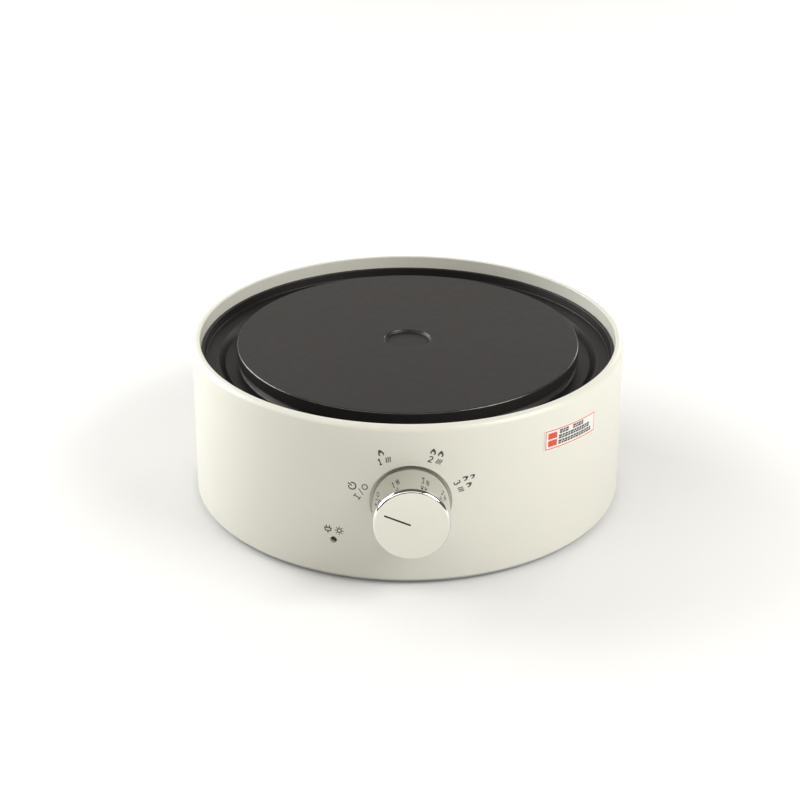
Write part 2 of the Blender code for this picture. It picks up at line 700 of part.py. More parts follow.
def make_switch():
    half = SWITCH_HALF
    corner = 0.0015
    outline = []
    for x, y, start in ((half, half, 0), (-half, half, 90), (-half, -half, 180), (half, -half, 270)):
        centre = (x - math.copysign(corner, x), y - math.copysign(corner, y))
        outline += arc(centre, corner, start, start + 90, 2)
    housing_mesh = prism_mesh("switch_housing", outline, SWITCH_REAR, SWITCH_FRONT)
    housing = add_object("switch_housing", housing_mesh, plastic["phenolic"], front_axis)
    neck_end = SEAT_FLOOR - 0.0007
    unite(housing, rod_mesh("switch_neck", 0.0050, SWITCH_FRONT - 0.001, neck_end), front_axis)
    cavity = rod_mesh("switch_cavity", SWITCH_CAVITY_RADIUS, SWITCH_REAR - 0.002, SWITCH_CAVITY_FRONT, 36)
    cut(housing, cavity, front_axis)
    cut(housing, rod_mesh("shaft_bore", SHAFT_RADIUS + 0.0004, 0.100, 0.120), front_axis)
    stop_outer, stop_inner = SWITCH_CAVITY_RADIUS + 0.0010, 0.0104
    stop_outline = arc((0, 0), stop_outer, STOP_START, STOP_END, 18)
    stop_outline += arc((0, 0), stop_inner, STOP_END, STOP_START, 18)
    stop_mesh = prism_mesh("switch_stop", stop_outline, STOP_REAR, SWITCH_CAVITY_FRONT + 0.001)
    unite(housing, stop_mesh, front_axis)

    cover_front = SWITCH_REAR - GAP
    cover_rear = cover_front - 0.0022
    cover_mesh = prism_mesh("switch_back_cover", outline, cover_rear, cover_front)
    cover = add_object("switch_back_cover", cover_mesh, plastic["phenolic"], front_axis)
    cut(cover, rod_mesh("pivot_hole", 0.0024, 0.080, 0.090), front_axis)
    screw_profile = [
        (0, 0.1030),
        (0.0014, 0.1035),
        (0.0014, 0.1117),
        (0.0026, 0.1117),
        (0.0026, 0.1123),
        (0.0020, 0.1128),
        (0, 0.1128),
    ]
    for number, side in enumerate((-1, 1), 1):
        place = (side * SWITCH_SCREW_OFFSET, -side * SWITCH_SCREW_OFFSET, 0)
        screw_mesh = turned_mesh("switch_screw", screw_profile, TINY_SEGMENTS)
        add_object(f"switch_screw_{number}", screw_mesh, metal["steel"], front_axis, place)
        hole_mesh = rod_mesh("housing_screw_hole", SCREW_CLEARANCE, 0.1025, 0.115, TINY_SEGMENTS)
        cut(housing, hole_mesh, front_axis, place)

    # A leaf lies along the contact cam, and its tail leaves through the back cover as a tab.
    arm_front, arm_rear, tail_end = 0.0955, 0.0915, TAB_END
    arm_low, tail_low, tail_high = -0.0060, 0.0040, 0.0080
    leaf_outline = [
        (arm_low, arm_rear),
        (tail_low, arm_rear),
        (tail_low, tail_end),
        (tail_high, tail_end),
        (tail_high, arm_front),
        (arm_low, arm_front),
    ]
    leaf_near = CONTACT_CAM_RADIUS + 0.0005
    leaf_far = leaf_near + 0.0005
    for name, side in (("contact_leaf_low", -1), ("contact_leaf_high", 1)):
        low, high = sorted((side * leaf_near, side * leaf_far))
        # The outline is drawn as (y, z) and extruded along x.
        leaf_mesh = prism_mesh(name, leaf_outline, low, high)
        add_object(name, leaf_mesh, metal["copper"], front_axis, rotation=(math.pi / 2, 0, math.pi / 2))
        slot_low = (low - 0.0004, tail_low - 0.0004, 0.080)
        slot_high = (high + 0.0004, tail_high + 0.0004, 0.090)
        cut(cover, box_mesh("leaf_slot", slot_low, slot_high), front_axis)
    terminal_low = (-0.0032, TERMINAL_OFFSET - 0.00025, tail_end)
    terminal_high = (0.0032, TERMINAL_OFFSET + 0.00025, arm_front)
    terminal_mesh = box_mesh("common_terminal", terminal_low, terminal_high)
    add_object("common_terminal", terminal_mesh, metal["copper"], front_axis)
    slot_low = (terminal_low[0] - 0.0004, terminal_low[1] - 0.0004, 0.080)
    slot_high = (terminal_high[0] + 0.0004, terminal_high[1] + 0.0004, 0.090)
    cut(cover, box_mesh("terminal_slot", slot_low, slot_high), front_axis)

    # The detent leaf is drawn pressed flat, just clear of the cam's crests.
    crest = -DETENT_CAM_RADIUS - 0.0004
    leaf_thickness, leaf_end, leaf_drop = 0.0004, 0.0050, 0.0018
    detent_line = [
        (leaf_end, crest - leaf_drop),
        (0.0022, crest - leaf_drop),
        (0.0010, crest),
        (-0.0010, crest),
        (-0.0022, crest - leaf_drop),
        (-leaf_end, crest - leaf_drop),
    ]
    detent_mesh = prism_mesh("detent_spring", sheet_outline(detent_line, leaf_thickness), 0.0997, 0.1033)
    add_object("detent_spring", detent_mesh, metal["steel"], front_axis)


def make_knob():
    """The knob, its grip spring and the switch's rotor, drawn with the pointer along local X."""
    rotor_profile = [
        (0, SWITCH_REAR - 0.0025),
        (0.0020, SWITCH_REAR - 0.0025),
        (0.0020, 0.0890),
        (0.0040, 0.0890),
        (0.0040, 0.0912),
        (CONTACT_CAM_RADIUS, 0.0912),
        (CONTACT_CAM_RADIUS, 0.0960),
        (0.0040, 0.0960),
        (0.0040, 0.0992),
        (DETENT_CAM_RADIUS, 0.0992),
        (DETENT_CAM_RADIUS, 0.1038),
        (SHAFT_RADIUS, 0.1038),
        (SHAFT_RADIUS, SHAFT_END),
        (0, SHAFT_END),
    ]
    rotor_mesh = turned_mesh("switch_rotor", rotor_profile, SMALL_SEGMENTS)
    rotor = add_object("switch_rotor", rotor_mesh, plastic["nylon"], knob_axis)
    shaft_flat = box_mesh("shaft_flat", (-0.004, SHAFT_FLAT, 0.114), (0.004, 0.006, SHAFT_END + 0.001))
    cut(rotor, shaft_flat, knob_axis)
    cut(rotor, box_mesh("cam_flat", (0.0055, -0.010, 0.0905), (0.012, 0.010, 0.0976)), knob_axis)
    for step in range(4):
        notch_angle = -90 - POINTER_REST_ANGLE + step * POSITION_STEP
        place = (*on_circle(DETENT_CAM_RADIUS + 0.0008, notch_angle), 0)
        cut(rotor, rod_mesh("detent_notch", 0.0018, 0.0980, 0.1048, TINY_SEGMENTS), knob_axis, place)
    tooth_outline = arc((0, 0), 0.0125, -STOP_TOOTH_HALF_ANGLE, STOP_TOOTH_HALF_ANGLE, 3)
    tooth_outline += arc((0, 0), 0.0060, STOP_TOOTH_HALF_ANGLE, -STOP_TOOTH_HALF_ANGLE, 3)
    unite(rotor, prism_mesh("stop_tooth", tooth_outline, 0.1030, SWITCH_CAVITY_FRONT - 0.0004), knob_axis)

    inside_face = KNOB_FACE - 0.0026
    hub_radius, hub_back, bore_radius, bore_end = 0.0056, 0.1155, 0.0034, SHAFT_END + 0.0010
    profile = [
        (0, KNOB_FACE),
        (KNOB_FACE_RADIUS, KNOB_FACE),
        (KNOB_FACE_RADIUS + 0.0005, KNOB_FACE - 0.0002),
        (KNOB_FACE_RADIUS + 0.0009, KNOB_FACE - 0.0006),
        (KNOB_FACE_RADIUS + 0.00127, KNOB_FACE - 0.0015),
        (KNOB_SHOULDER_RADIUS, KNOB_FACE - KNOB_SHOULDER),
        (KNOB_BASE_RADIUS, KNOB_BACK),
        (KNOB_BASE_RADIUS - KNOB_SKIN, KNOB_BACK),
        (KNOB_FACE_RADIUS - KNOB_SKIN, inside_face),
        (hub_radius, inside_face),
        (hub_radius, hub_back),
        (bore_radius, hub_back),
        (bore_radius, bore_end),
        (0, bore_end),
    ]
    knob = add_object("knob", turned_mesh("knob", profile, 40), metal["chrome"], knob_axis)
    bore_flat = 0.00315
    flat_low, flat_high = (-0.0030, bore_flat, hub_back + 0.0001), (0.0030, 0.0046, bore_end + 0.001)
    unite(knob, box_mesh("bore_flat", flat_low, flat_high), knob_axis)
    pointer_start, pointer_end, pointer_half_width, pointer_depth = 0.0004, 0.0144, 0.00045, 0.0005
    pointer = box_mesh(
        "pointer_line",
        (pointer_start, -pointer_half_width, KNOB_FACE - pointer_depth),
        (pointer_end, pointer_half_width, KNOB_FACE + 0.002),
    )
    cut(knob, pointer, knob_axis)
    spring_low = (-0.0011, SHAFT_FLAT + GAP, 0.1170)
    spring_high = (0.0011, bore_flat - GAP, 0.1270)
    add_object(
        "knob_grip_spring", box_mesh("knob_grip_spring", spring_low, spring_high), metal["steel"], knob_axis
    )


# ---------------------------------------------------------------- lamp, label and inlet


def make_lamp():
    stub_radius, flange_radius, flange_rear, flange_front = 0.00145, 0.0026, 0.1108, 0.1124
    lens_front = BASE_RADIUS - 0.0011
    lens_profile = [
        (0, flange_rear),
        (flange_radius, flange_rear),
        (flange_radius, flange_front),
        (stub_radius, flange_front),
        (stub_radius, lens_front - 0.0004),
        (stub_radius - 0.0005, lens_front),
        (0, lens_front),
    ]
    lens_mesh = turned_mesh("indicator_lens", lens_profile, TINY_SEGMENTS)
    add_object("indicator_lens", lens_mesh, plastic["amber"], lamp_axis)
    lamp_radius, lamp_rear = 0.0022, LAMP_TAIL + GAP + 0.0001
    lamp_front = flange_rear - GAP
    lamp_profile = [
        (0, lamp_rear),
        (lamp_radius, lamp_rear),
        *arc((0, lamp_front - lamp_radius), lamp_radius, 0, 60, 3),
        (0, lamp_front),
    ]
    add_object("indicator_lamp", turned_mesh("indicator_lamp", lamp_profile, TINY_SEGMENTS), glass, lamp_axis)


def make_label():
    inner, outer = RIM_RADIUS + 0.00042, RIM_RADIUS + 0.00062
    start, end = LABEL_START - 90, LABEL_END - 90
    outline = arc((0, 0), inner, start, end, 18) + arc((0, 0), outer, end, start, 18)
    low, high = LABEL_CENTRE_HEIGHT - LABEL_HALF_HEIGHT, LABEL_CENTRE_HEIGHT + LABEL_HALF_HEIGHT
    mesh = prism_mesh("side_label", outline, low, high)
    middle = math.radians((start + end) / 2)
    for vertex in mesh.vertices:
        along = RIM_RADIUS * (math.atan2(vertex.co.y, vertex.co.x) - middle)
        vertex.co.z += LABEL_SLOPE * along
    add_object("side_label", mesh, paper, casing_axis)


def make_inlet():
    flange_rear = POCKET_FLOOR + GAP
    flange_front = flange_rear + FLANGE_THICKNESS
    corner = 0.0030
    flange_outline = []
    for x, y, start in (
        (FLANGE_HALF_WIDTH, FLANGE_HALF_HEIGHT, 0),
        (-FLANGE_HALF_WIDTH, FLANGE_HALF_HEIGHT, 90),
        (-FLANGE_HALF_WIDTH, -FLANGE_HALF_HEIGHT, 180),
        (FLANGE_HALF_WIDTH, -FLANGE_HALF_HEIGHT, 270),
    ):
        centre = (x - math.copysign(corner, x), y - math.copysign(corner, y))
        flange_outline += arc(centre, corner, start, start + 90, 4)
    inlet_mesh = prism_mesh("power_inlet", flange_outline, flange_rear, flange_front)
    inlet = add_object("power_inlet", inlet_mesh, plastic["black"], inlet_axis)
    body_low = (-INLET_BODY_HALF_WIDTH, -INLET_BODY_HALF_HEIGHT, INLET_REAR)
    body_high = (INLET_BODY_HALF_WIDTH, INLET_BODY_HALF_HEIGHT, flange_rear + 0.001)
    unite(inlet, box_mesh("inlet_body", body_low, body_high), inlet_axis)
    width, height, chamfer = 0.0122, 0.0083, 0.0045
    cavity_outline = [
        (-width, -height),
        (width, -height),
        (width, height - chamfer),
        (width - chamfer, height),
        (-width + chamfer, height),
        (-width, height - chamfer),
    ]
    cavity_floor = flange_front - 0.0165
    cut(inlet, prism_mesh("inlet_cavity", cavity_outline, cavity_floor, flange_front + 0.005), inlet_axis)
    screw_profile = [
        (0, 0.1040),
        (0.0014, 0.1045),
        (0.0014, flange_front - 0.0006),
        (0.0027, flange_front + 0.0004),
        (0.0027, flange_front + 0.0008),
        (0, flange_front + 0.0012),
    ]
    hole_profile = [
        (0, 0.1060),
        (SCREW_CLEARANCE, 0.1060),
        (SCREW_CLEARANCE, flange_front - 0.0011),
        (0.0046, flange_front + 0.0020),
        (0, flange_front + 0.0020),
    ]
    for number, side in enumerate((-1, 1), 1):
        place = (side * INLET_SCREW_OFFSET, 0, 0)
        cut(inlet, turned_mesh("flange_hole", hole_profile, TINY_SEGMENTS), inlet_axis, place)
        screw_mesh = turned_mesh("inlet_screw", screw_profile, TINY_SEGMENTS)
        add_object(f"inlet_screw_{number}", screw_mesh, metal["steel"], inlet_axis, place)

    pin_half_width, pin_half_height = 0.0010, 0.0020
    slot = 0.0004
    pin_tip = flange_front - 0.0020
    for name, (x, y) in PIN_PLACES.items():
        outline = [
            (PIN_REAR, pin_half_height),
            (PIN_REAR, -pin_half_height),
            (pin_tip - 0.0010, -pin_half_height),
            (pin_tip, -pin_half_height + 0.0010),
            (pin_tip, pin_half_height - 0.0010),
            (pin_tip - 0.0010, pin_half_height),
        ]
        # The outline is drawn as (z, y) and extruded along x.
        pin_mesh = prism_mesh(name, [(-z, y2) for z, y2 in outline], -pin_half_width, pin_half_width)
        add_object(name, pin_mesh, metal["nickel"], inlet_axis, (x, y, 0), (0, math.pi / 2, 0))
        low = (x - pin_half_width - slot, y - pin_half_height - slot, INLET_REAR - 0.002)
        high = (x + pin_half_width + slot, y + pin_half_height + slot, cavity_floor + 0.002)
        cut(inlet, box_mesh("pin_slot", low, high), inlet_axis)


# ---------------------------------------------------------------- wiring


def make_wires():
    """Each wire starts and ends a small gap from the face that it is joined to."""
    outer_live, outer_neutral = outer_route[0], outer_route[-1]
    inner_live, inner_neutral = inner_route[-1], inner_route[0]
    step = GAP + 0.0001
    below_leg = LEG_BOTTOM - step
    pin_end = PIN_REAR - step
    pin_height = INLET_HEIGHT - 0.0020
    tail = TAB_END - step
    leaf_x = CONTACT_CAM_RADIUS + 0.00075
    leaf_z = KNOB_HEIGHT + 0.0060
    floor = 0.012
    routes = {
        "wire_live_feed": [
            (-PIN_OFFSET, pin_end, pin_height),
            (-PIN_OFFSET, 0.074, pin_height),
            (-0.009, 0.062, 0.028),
            (-0.006, 0.056, 0.044),
            (-0.004, 0.052, FUSE_HEIGHT),
            (-0.004, FUSE_BACK + step, FUSE_HEIGHT),
        ],
        "wire_switch_feed": [
            (0.004, 0, TAB_BOTTOM - step),
            (0.004, -0.001, 0.040),
            (0.004, -0.012, 0.033),
            (0.001, -0.050, 0.036),
            (0, -0.068, 0.052),
            (0, -tail + 0.004, KNOB_HEIGHT + TERMINAL_OFFSET),
            (0, -tail, KNOB_HEIGHT + TERMINAL_OFFSET),
        ],
        "wire_low": [
            (-leaf_x, -tail, leaf_z),
            (-leaf_x, -tail + 0.004, leaf_z),
            (-0.012, -0.064, 0.044),
            (inner_live.x - 0.002, -0.048, 0.036),
            (inner_live.x, inner_live.y, 0.043),
            (inner_live.x, inner_live.y, below_leg),
        ],
        "wire_high": [
            (leaf_x, -tail, leaf_z),
            (leaf_x, -tail + 0.004, leaf_z),
            (0.018, -0.062, 0.040),
            (0.040, -0.034, 0.034),
            (outer_live.x, outer_live.y, 0.043),
            (outer_live.x, outer_live.y, below_leg),
        ],
        "wire_neutral": [
            (PIN_OFFSET, pin_end, pin_height),
            (PIN_OFFSET, 0.074, pin_height),
            (0.022, 0.060, 0.022),
            (0.048, 0.034, 0.030),
            (outer_neutral.x + SHARED_LEG_OFFSET, outer_neutral.y, 0.043),
            (outer_neutral.x + SHARED_LEG_OFFSET, outer_neutral.y, below_leg),
        ],
        "neutral_link": [
            (outer_neutral.x - SHARED_LEG_OFFSET, outer_neutral.y, below_leg),
            (outer_neutral.x - SHARED_LEG_OFFSET, outer_neutral.y, 0.049),
            (0.036, 0.000, 0.041),
            (0.018, -0.022, 0.042),
            (inner_neutral.x, inner_neutral.y, 0.048),
            (inner_neutral.x, inner_neutral.y, below_leg),
        ],
        "wire_earth": [
            (0, pin_end, INLET_HEIGHT + 0.0020),
            (0, 0.078, INLET_HEIGHT + 0.0020),
            (0, 0.072, 0.036),
            (0, 0.075, 0.055),
            (0, STUD_CIRCLE, STUD_BOTTOM - step),
        ],
        "wire_lamp": [
            tuple(lamp_tail),
            tuple(lamp_tail * 0.94 + Vector((0, 0, LAMP_HEIGHT * 0.06))),
            (-0.030, -0.080, floor + 0.012),
            (-0.024, -0.070, 0.034),
            (-0.018, -0.0790, leaf_z - 0.003),
            (-0.014, -0.0815, leaf_z),
            (-CONTACT_CAM_RADIUS - 0.0010 - step, -0.0815, leaf_z),
        ],
    }
    colours = {
        "wire_live_feed": wire["brown"],
        "wire_switch_feed": wire["brown"],
        "wire_low": wire["white"],
        "wire_high": wire["red"],
        "wire_neutral": wire["blue"],
        "neutral_link": wire["blue"],
        "wire_earth": wire["green"],
        "wire_lamp": wire["white"],
    }
    for name, points in routes.items():
        add_tube(name, smooth_route(points, 0.0075), WIRE_RADIUS, colours[name], casing_axis)


# ---------------------------------------------------------------- the object

clear_scene()

plastic = {
    "white": make_material("white_plastic", (0.80, 0.79, 0.72), 0.38, 0.0),
    "black": make_material("black_plastic", (0.03, 0.03, 0.03), 0.45, 0.0),
    "phenolic": make_material("brown_phenolic", (0.10, 0.06, 0.04), 0.5, 0.0),
    "nylon": make_material("natural_nylon", (0.72, 0.70, 0.62), 0.5, 0.0),
    "amber": make_material("amber_lens", (0.45, 0.22, 0.08), 0.15, 0.0),
}
metal = {
    "cast": make_material("coated_cast_plate", (0.08, 0.075, 0.07), 0.45, 0.3),
    "enamel": make_material("black_enamel", (0.02, 0.02, 0.02), 0.2, 0.0),
    "chrome": make_material("polished_chrome", (0.86, 0.86, 0.84), 0.08, 1.0),
    "zinc": make_material("zinc_plated_steel", (0.55, 0.56, 0.58), 0.4, 1.0),
    "steel": make_material("bright_steel", (0.62, 0.62, 0.62), 0.3, 1.0),
    "sheath": make_material("element_sheath", (0.16, 0.17, 0.15), 0.5, 0.8),
    "copper": make_material("copper_alloy", (0.75, 0.45, 0.25), 0.35, 1.0),
    "nickel": make_material("nickel_plate", (0.70, 0.68, 0.64), 0.25, 1.0),
    "dark": make_material("tool_shape", (0.2, 0.2, 0.2), 0.5, 0.0),
}
wire = {
    "brown": make_material("brown_sleeve", (0.20, 0.09, 0.04), 0.5, 0.0),
    "blue": make_material("blue_sleeve", (0.04, 0.12, 0.45), 0.5, 0.0),
    "green": make_material("green_yellow_sleeve", (0.15, 0.42, 0.08), 0.5, 0.0),
    "red": make_material("red_sleeve", (0.50, 0.04, 0.03), 0.5, 0.0),
    "white": make_material("white_sleeve", (0.75, 0.75, 0.72), 0.5, 0.0),
}
rubber = make_material("black_rubber", (0.03, 0.03, 0.03), 0.8, 0.0)
fibre = make_material("ceramic_fibre", (0.80, 0.76, 0.66), 0.95, 0.0)
glass = make_material("lamp_glass", (0.85, 0.80, 0.75), 0.1, 0.0)
paper = make_material("label_paper", (0.85, 0.85, 0.82), 0.5, 0.0)

casing_axis = add_empty("casing_axis", (0, CASING_Y, 0))
front_axis = radial_frame("front_axis", 0, KNOB_HEIGHT)
knob_axis = add_empty("knob_axis", rotation=(0, 0, math.radians(POINTER_REST_ANGLE)), parent=front_axis)
lamp_axis = radial_frame("lamp_axis", LAMP_AZIMUTH, LAMP_HEIGHT)
inlet_axis = radial_frame("inlet_axis", 180, INLET_HEIGHT)
lamp_azimuth = math.radians(LAMP_AZIMUTH)
lamp_tail = Vector((math.sin(lamp_azimuth), -math.cos(lamp_azimuth), 0)) * LAMP_TAIL
lamp_tail.z = LAMP_HEIGHT

outer_route = element_route(OUTER_ELEMENT_RADIUS, 0, 15)
inner_route = element_route(INNER_ELEMENT_RADIUS, -90, 24)

make_casing()
make_base()
make_pan()
make_plate()
make_heating()
make_thermostat()
make_switch()
make_knob()
make_lamp()
make_label()
make_inlet()
make_wires()
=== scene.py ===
import json
import math

import bmesh
import bpy
from mathutils import Matrix, Vector

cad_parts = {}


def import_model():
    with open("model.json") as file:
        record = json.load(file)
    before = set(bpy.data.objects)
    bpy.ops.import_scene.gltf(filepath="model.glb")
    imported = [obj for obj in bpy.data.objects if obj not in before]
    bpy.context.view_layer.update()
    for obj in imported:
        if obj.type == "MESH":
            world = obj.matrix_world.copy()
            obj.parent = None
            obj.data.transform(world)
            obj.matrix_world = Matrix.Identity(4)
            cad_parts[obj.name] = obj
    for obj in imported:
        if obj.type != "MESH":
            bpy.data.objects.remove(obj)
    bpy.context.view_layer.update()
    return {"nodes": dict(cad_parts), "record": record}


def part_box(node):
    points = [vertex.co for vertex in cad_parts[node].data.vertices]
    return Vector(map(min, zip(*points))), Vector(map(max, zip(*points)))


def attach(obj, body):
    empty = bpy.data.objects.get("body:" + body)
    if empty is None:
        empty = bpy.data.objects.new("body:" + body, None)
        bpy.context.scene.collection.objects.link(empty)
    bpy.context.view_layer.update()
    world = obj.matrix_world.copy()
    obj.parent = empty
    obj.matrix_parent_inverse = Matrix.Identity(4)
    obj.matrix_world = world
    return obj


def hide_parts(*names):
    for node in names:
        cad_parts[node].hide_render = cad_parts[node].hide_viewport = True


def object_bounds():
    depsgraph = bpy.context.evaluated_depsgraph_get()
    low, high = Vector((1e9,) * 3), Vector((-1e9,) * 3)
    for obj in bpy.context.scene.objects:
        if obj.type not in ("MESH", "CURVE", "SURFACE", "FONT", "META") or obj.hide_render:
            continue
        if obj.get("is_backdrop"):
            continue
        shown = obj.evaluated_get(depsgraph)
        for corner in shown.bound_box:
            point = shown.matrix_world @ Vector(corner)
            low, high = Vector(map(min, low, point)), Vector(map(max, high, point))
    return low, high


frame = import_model()

# ---------------------------------------------------------------- measures, in metres

MM = 0.001
pan_low, pan_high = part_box("drip_pan")
AXIS_Y = (pan_low.y + pan_high.y) / 2
casing_low, casing_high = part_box("outer_casing")
RIM_HEIGHT = casing_high.z
CASING_BOTTOM = casing_low.z
BASE_RADIUS = (casing_high.x - casing_low.x) / 2
RIM_RADIUS = BASE_RADIUS - 0.6 * MM
RIM_ROUNDING = 3.3 * MM
RIM_INNER = 110.8 * MM
WALL = 2.5 * MM
SHELF = 80.3 * MM
SHELF_UNDER = 76 * MM
SHELF_RADIUS = 110.0 * MM

knob_low, knob_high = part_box("knob")
KNOB_HEIGHT = (knob_low.z + knob_high.z) / 2
KNOB_FACE = AXIS_Y - knob_low.y
SEAT_RADIUS = 20.2 * MM
SEAT_FLOOR = 112.9 * MM
PAD_FACE = 109.5 * MM
PAD_RADIUS = 22.5 * MM
NECK_RADIUS = 5.4 * MM

INLET_HEIGHT = 26 * MM
POCKET_FLOOR = 110.0 * MM
POCKET_BACK = 107 * MM
LAMP_AZIMUTH = -19.4
LAMP_HEIGHT = 22.7 * MM
LAMP_RADIUS = 1.8 * MM

KNOB_BACK = 113.9 * MM
LENS_FRONT = 113.8 * MM
INLET_REAR, INLET_FRONT = 110.3 * MM, 112.3 * MM
INLET_SCREWS = (-20 * MM, 20 * MM)
CORNERS = [math.radians(angle) for angle in (45, 135, 225, 315)]
FOOT_CIRCLE = 88 * MM
SCREW_CIRCLE = 105.3 * MM

COLUMNS = 360  # of the casing's grid, so one in each degree
CLOSE = 1e-6
SHARP = 30  # degrees between two faces, above which their edge is hard
CAMERA_TURN = 0.95  # degrees between the camera's azimuth and the knob's
POINTER_REST = 157.5  # degrees that the pointer is turned at rest, to the off mark


# ---------------------------------------------------------------- mesh tools


def in_mm(points):
    """Turns points in millimetres into points in metres."""
    return [tuple(MM * part for part in point) for point in points]


def polar(radius, angle, x=0.0, y=0.0):
    """The point at that angle, in radians, on a circle round (x, y)."""
    return x + radius * math.cos(angle), y + radius * math.sin(angle)


def mesh_from(name, verts, faces, sharp=SHARP):
    shape = bmesh.new()
    points = [shape.verts.new(v) for v in verts]
    for face in faces:
        corners = list(dict.fromkeys(face))
        if len(corners) > 2:
            shape.faces.new([points[i] for i in corners])
    loose = [v for v in shape.verts if not v.link_faces]
    bmesh.ops.delete(shape, geom=loose, context="VERTS")
    bmesh.ops.recalc_face_normals(shape, faces=shape.faces)
    mesh = bpy.data.meshes.new(name)
    shape.to_mesh(mesh)
    shape.free()
    mesh.shade_smooth()
    mesh.set_sharp_from_angle(angle=math.radians(sharp))
    return mesh


def rounded(points, steps=4, closed=False):
    """The (x, y, radius) corners of a profile as (x, y) points, each corner rounded."""
    out = []
    count = len(points)
    for i, (x, y, radius) in enumerate(points):
        at_end = not closed and i in (0, count - 1)
        if not radius or at_end:
            out.append((x, y))
            continue
        corner = Vector((x, y))
        before = (Vector(points[i - 1][:2]) - corner).normalized()
        after = (Vector(points[(i + 1) % count][:2]) - corner).normalized()
        half = before.angle(after) / 2
        reach = radius / math.tan(half)
        centre = corner + (before + after).normalized() * radius / math.sin(half)
        first = corner + before * reach - centre
        last = corner + after * reach - centre
        start = math.atan2(first.y, first.x)
        sweep = math.remainder(math.atan2(last.y, last.x) - start, 2 * math.pi)
        for k in range(steps + 1):
            out.append(polar(radius, start + sweep * k / steps, *centre))
    return out


def bridge(faces, rings):
    """Adds the faces between each ring of point numbers and the next."""
    for low, high in zip(rings, rings[1:]):
        for i in range(len(low)):
            j = (i + 1) % len(low)
            faces.append((low[i], low[j], high[j], high[i]))


def lathe(name, profile, segments, ring=False, sharp=SHARP):
    """A profile of (radius, height) turned round Z. A ring's profile is a closed outline."""
    verts, faces, rings = [], [], []
    for radius, height in profile:
        if radius < 1e-7:
            rings.append([len(verts)] * segments)
            verts.append((0, 0, height))
            continue
        rings.append(list(range(len(verts), len(verts) + segments)))
        for i in range(segments):
            verts.append((*polar(radius, 2 * math.pi * i / segments), height))
    if ring:
        rings.append(rings[0])
    bridge(faces, rings)
    return mesh_from(name, verts, faces, sharp)


def stack(name, outlines):
    """Closed outlines of 3-D points, joined one to the next, with both ends filled."""
    verts, faces, rings = [], [], []
    for outline in outlines:
        rings.append(tuple(range(len(verts), len(verts) + len(outline))))
        verts += outline
    bridge(faces, rings)
    return mesh_from(name, verts, [*faces, rings[0], rings[-1]])


def prism(name, outline, low, high):
    """A flat outline of (x, y) points, raised from low to high."""
    return stack(name, [[(x, y, z) for x, y in outline] for z in (low, high)])


def slot_outline(start, end, half_width, steps):
    """The (x, y) points of a slot along X whose round ends are centred on start and end."""
    out = []
    for first, x in ((-90, end), (90, start)):
        for k in range(steps + 1):
            out.append(polar(half_width, math.radians(first + 180 * k / steps), x))
    return out


def box_outline(half_x, half_y, corner):
    """A rounded rectangle's (x, y) points, anticlockwise."""
    out = []
    steps = 5
    for turn, (sx, sy) in enumerate(((1, 1), (-1, 1), (-1, -1), (1, -1))):
        for k in range(steps + 1):
            angle = math.radians(90 * turn + 90 * k / steps)
            out.append(polar(corner, angle, sx * (half_x - corner), sy * (half_y - corner)))
    return out


def box_stack(name, half_x, half_y, corner, low, high, edge):
    """A rounded rectangular block whose upper edge is rounded too."""
    levels = [(0, low), (0, high - edge)]
    for k in range(1, 5):
        angle = math.radians(90 * k / 4)
        levels.append((edge * (1 - math.cos(angle)), high - edge + edge * math.sin(angle)))
    outlines = []
    for inset, height in levels:
        outline = box_outline(half_x - inset, half_y - inset, corner - inset)
        outlines.append([(x, y, height) for x, y in outline])
    return stack(name, outlines)


def moved(mesh, x=0.0, y=0.0, turn=0.0):
    """The mesh itself, turned about Z and then shifted."""
    mesh.transform(Matrix.Translation((x, y, 0)) @ Matrix.Rotation(turn, 4, "Z"))
    return mesh


def joined(name, meshes):
    """One mesh in place of several that don't touch."""
    shape = bmesh.new()
    for mesh in meshes:
        shape.from_mesh(mesh)
        bpy.data.meshes.remove(mesh)
    whole = bpy.data.meshes.new(name)
    shape.to_mesh(whole)
    shape.free()
    return whole


def new_object(name, data):
    obj = bpy.data.objects.new(name, data)
    bpy.context.scene.collection.objects.link(obj)
    return obj


def carved(mesh, tools, operation="DIFFERENCE"):
    """The mesh with one joined tool mesh cut out of it, or added to it."""
    name = mesh.name
    body = new_object(name + "_body", mesh)
    tool = new_object(name + "_tool", tools)
    boolean = body.modifiers.new("boolean", "BOOLEAN")
    boolean.operation = operation
    boolean.object = tool
    graph = bpy.context.evaluated_depsgraph_get()
    result = bpy.data.meshes.new_from_object(body.evaluated_get(graph))
    for obj in (body, tool):
        bpy.data.objects.remove(obj)
    bpy.data.meshes.remove(tools)
    bpy.data.meshes.remove(mesh)
    result.name = name
    result.shade_smooth()
    result.set_sharp_from_angle(angle=math.radians(SHARP))
    return result


# ---------------------------------------------------------------- placing


def axis_frame(x=0.0, y=0.0):
    """The frame of the floor under the casing's axis, or at (x, y) from it."""
    return Matrix.Translation((x, AXIS_Y + y, 0))


def spun(degrees):
    return Matrix.Rotation(math.radians(degrees), 4, "Z")


def outward_frame(azimuth, height):
    """Local Z points out of the casing at that azimuth, from the casing's axis. Local Y is up."""
    turn = spun(azimuth) @ Matrix.Rotation(math.pi / 2, 4, "X")
    return Matrix.Translation((0, AXIS_Y, height)) @ turn


def add_piece(name, mesh, materials, nodes=(), body="chassis", place=None):
    for item in materials if isinstance(materials, (list, tuple)) else [materials]:
        mesh.materials.append(item)
    obj = new_object(name, mesh)
    if place is not None:
        obj.matrix_world = place
    weighted = obj.modifiers.new("weighted_normals", "WEIGHTED_NORMAL")
    weighted.keep_sharp = True
    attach(obj, body)
    if nodes:
        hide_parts(*nodes)
    return obj


# ---------------------------------------------------------------- materials


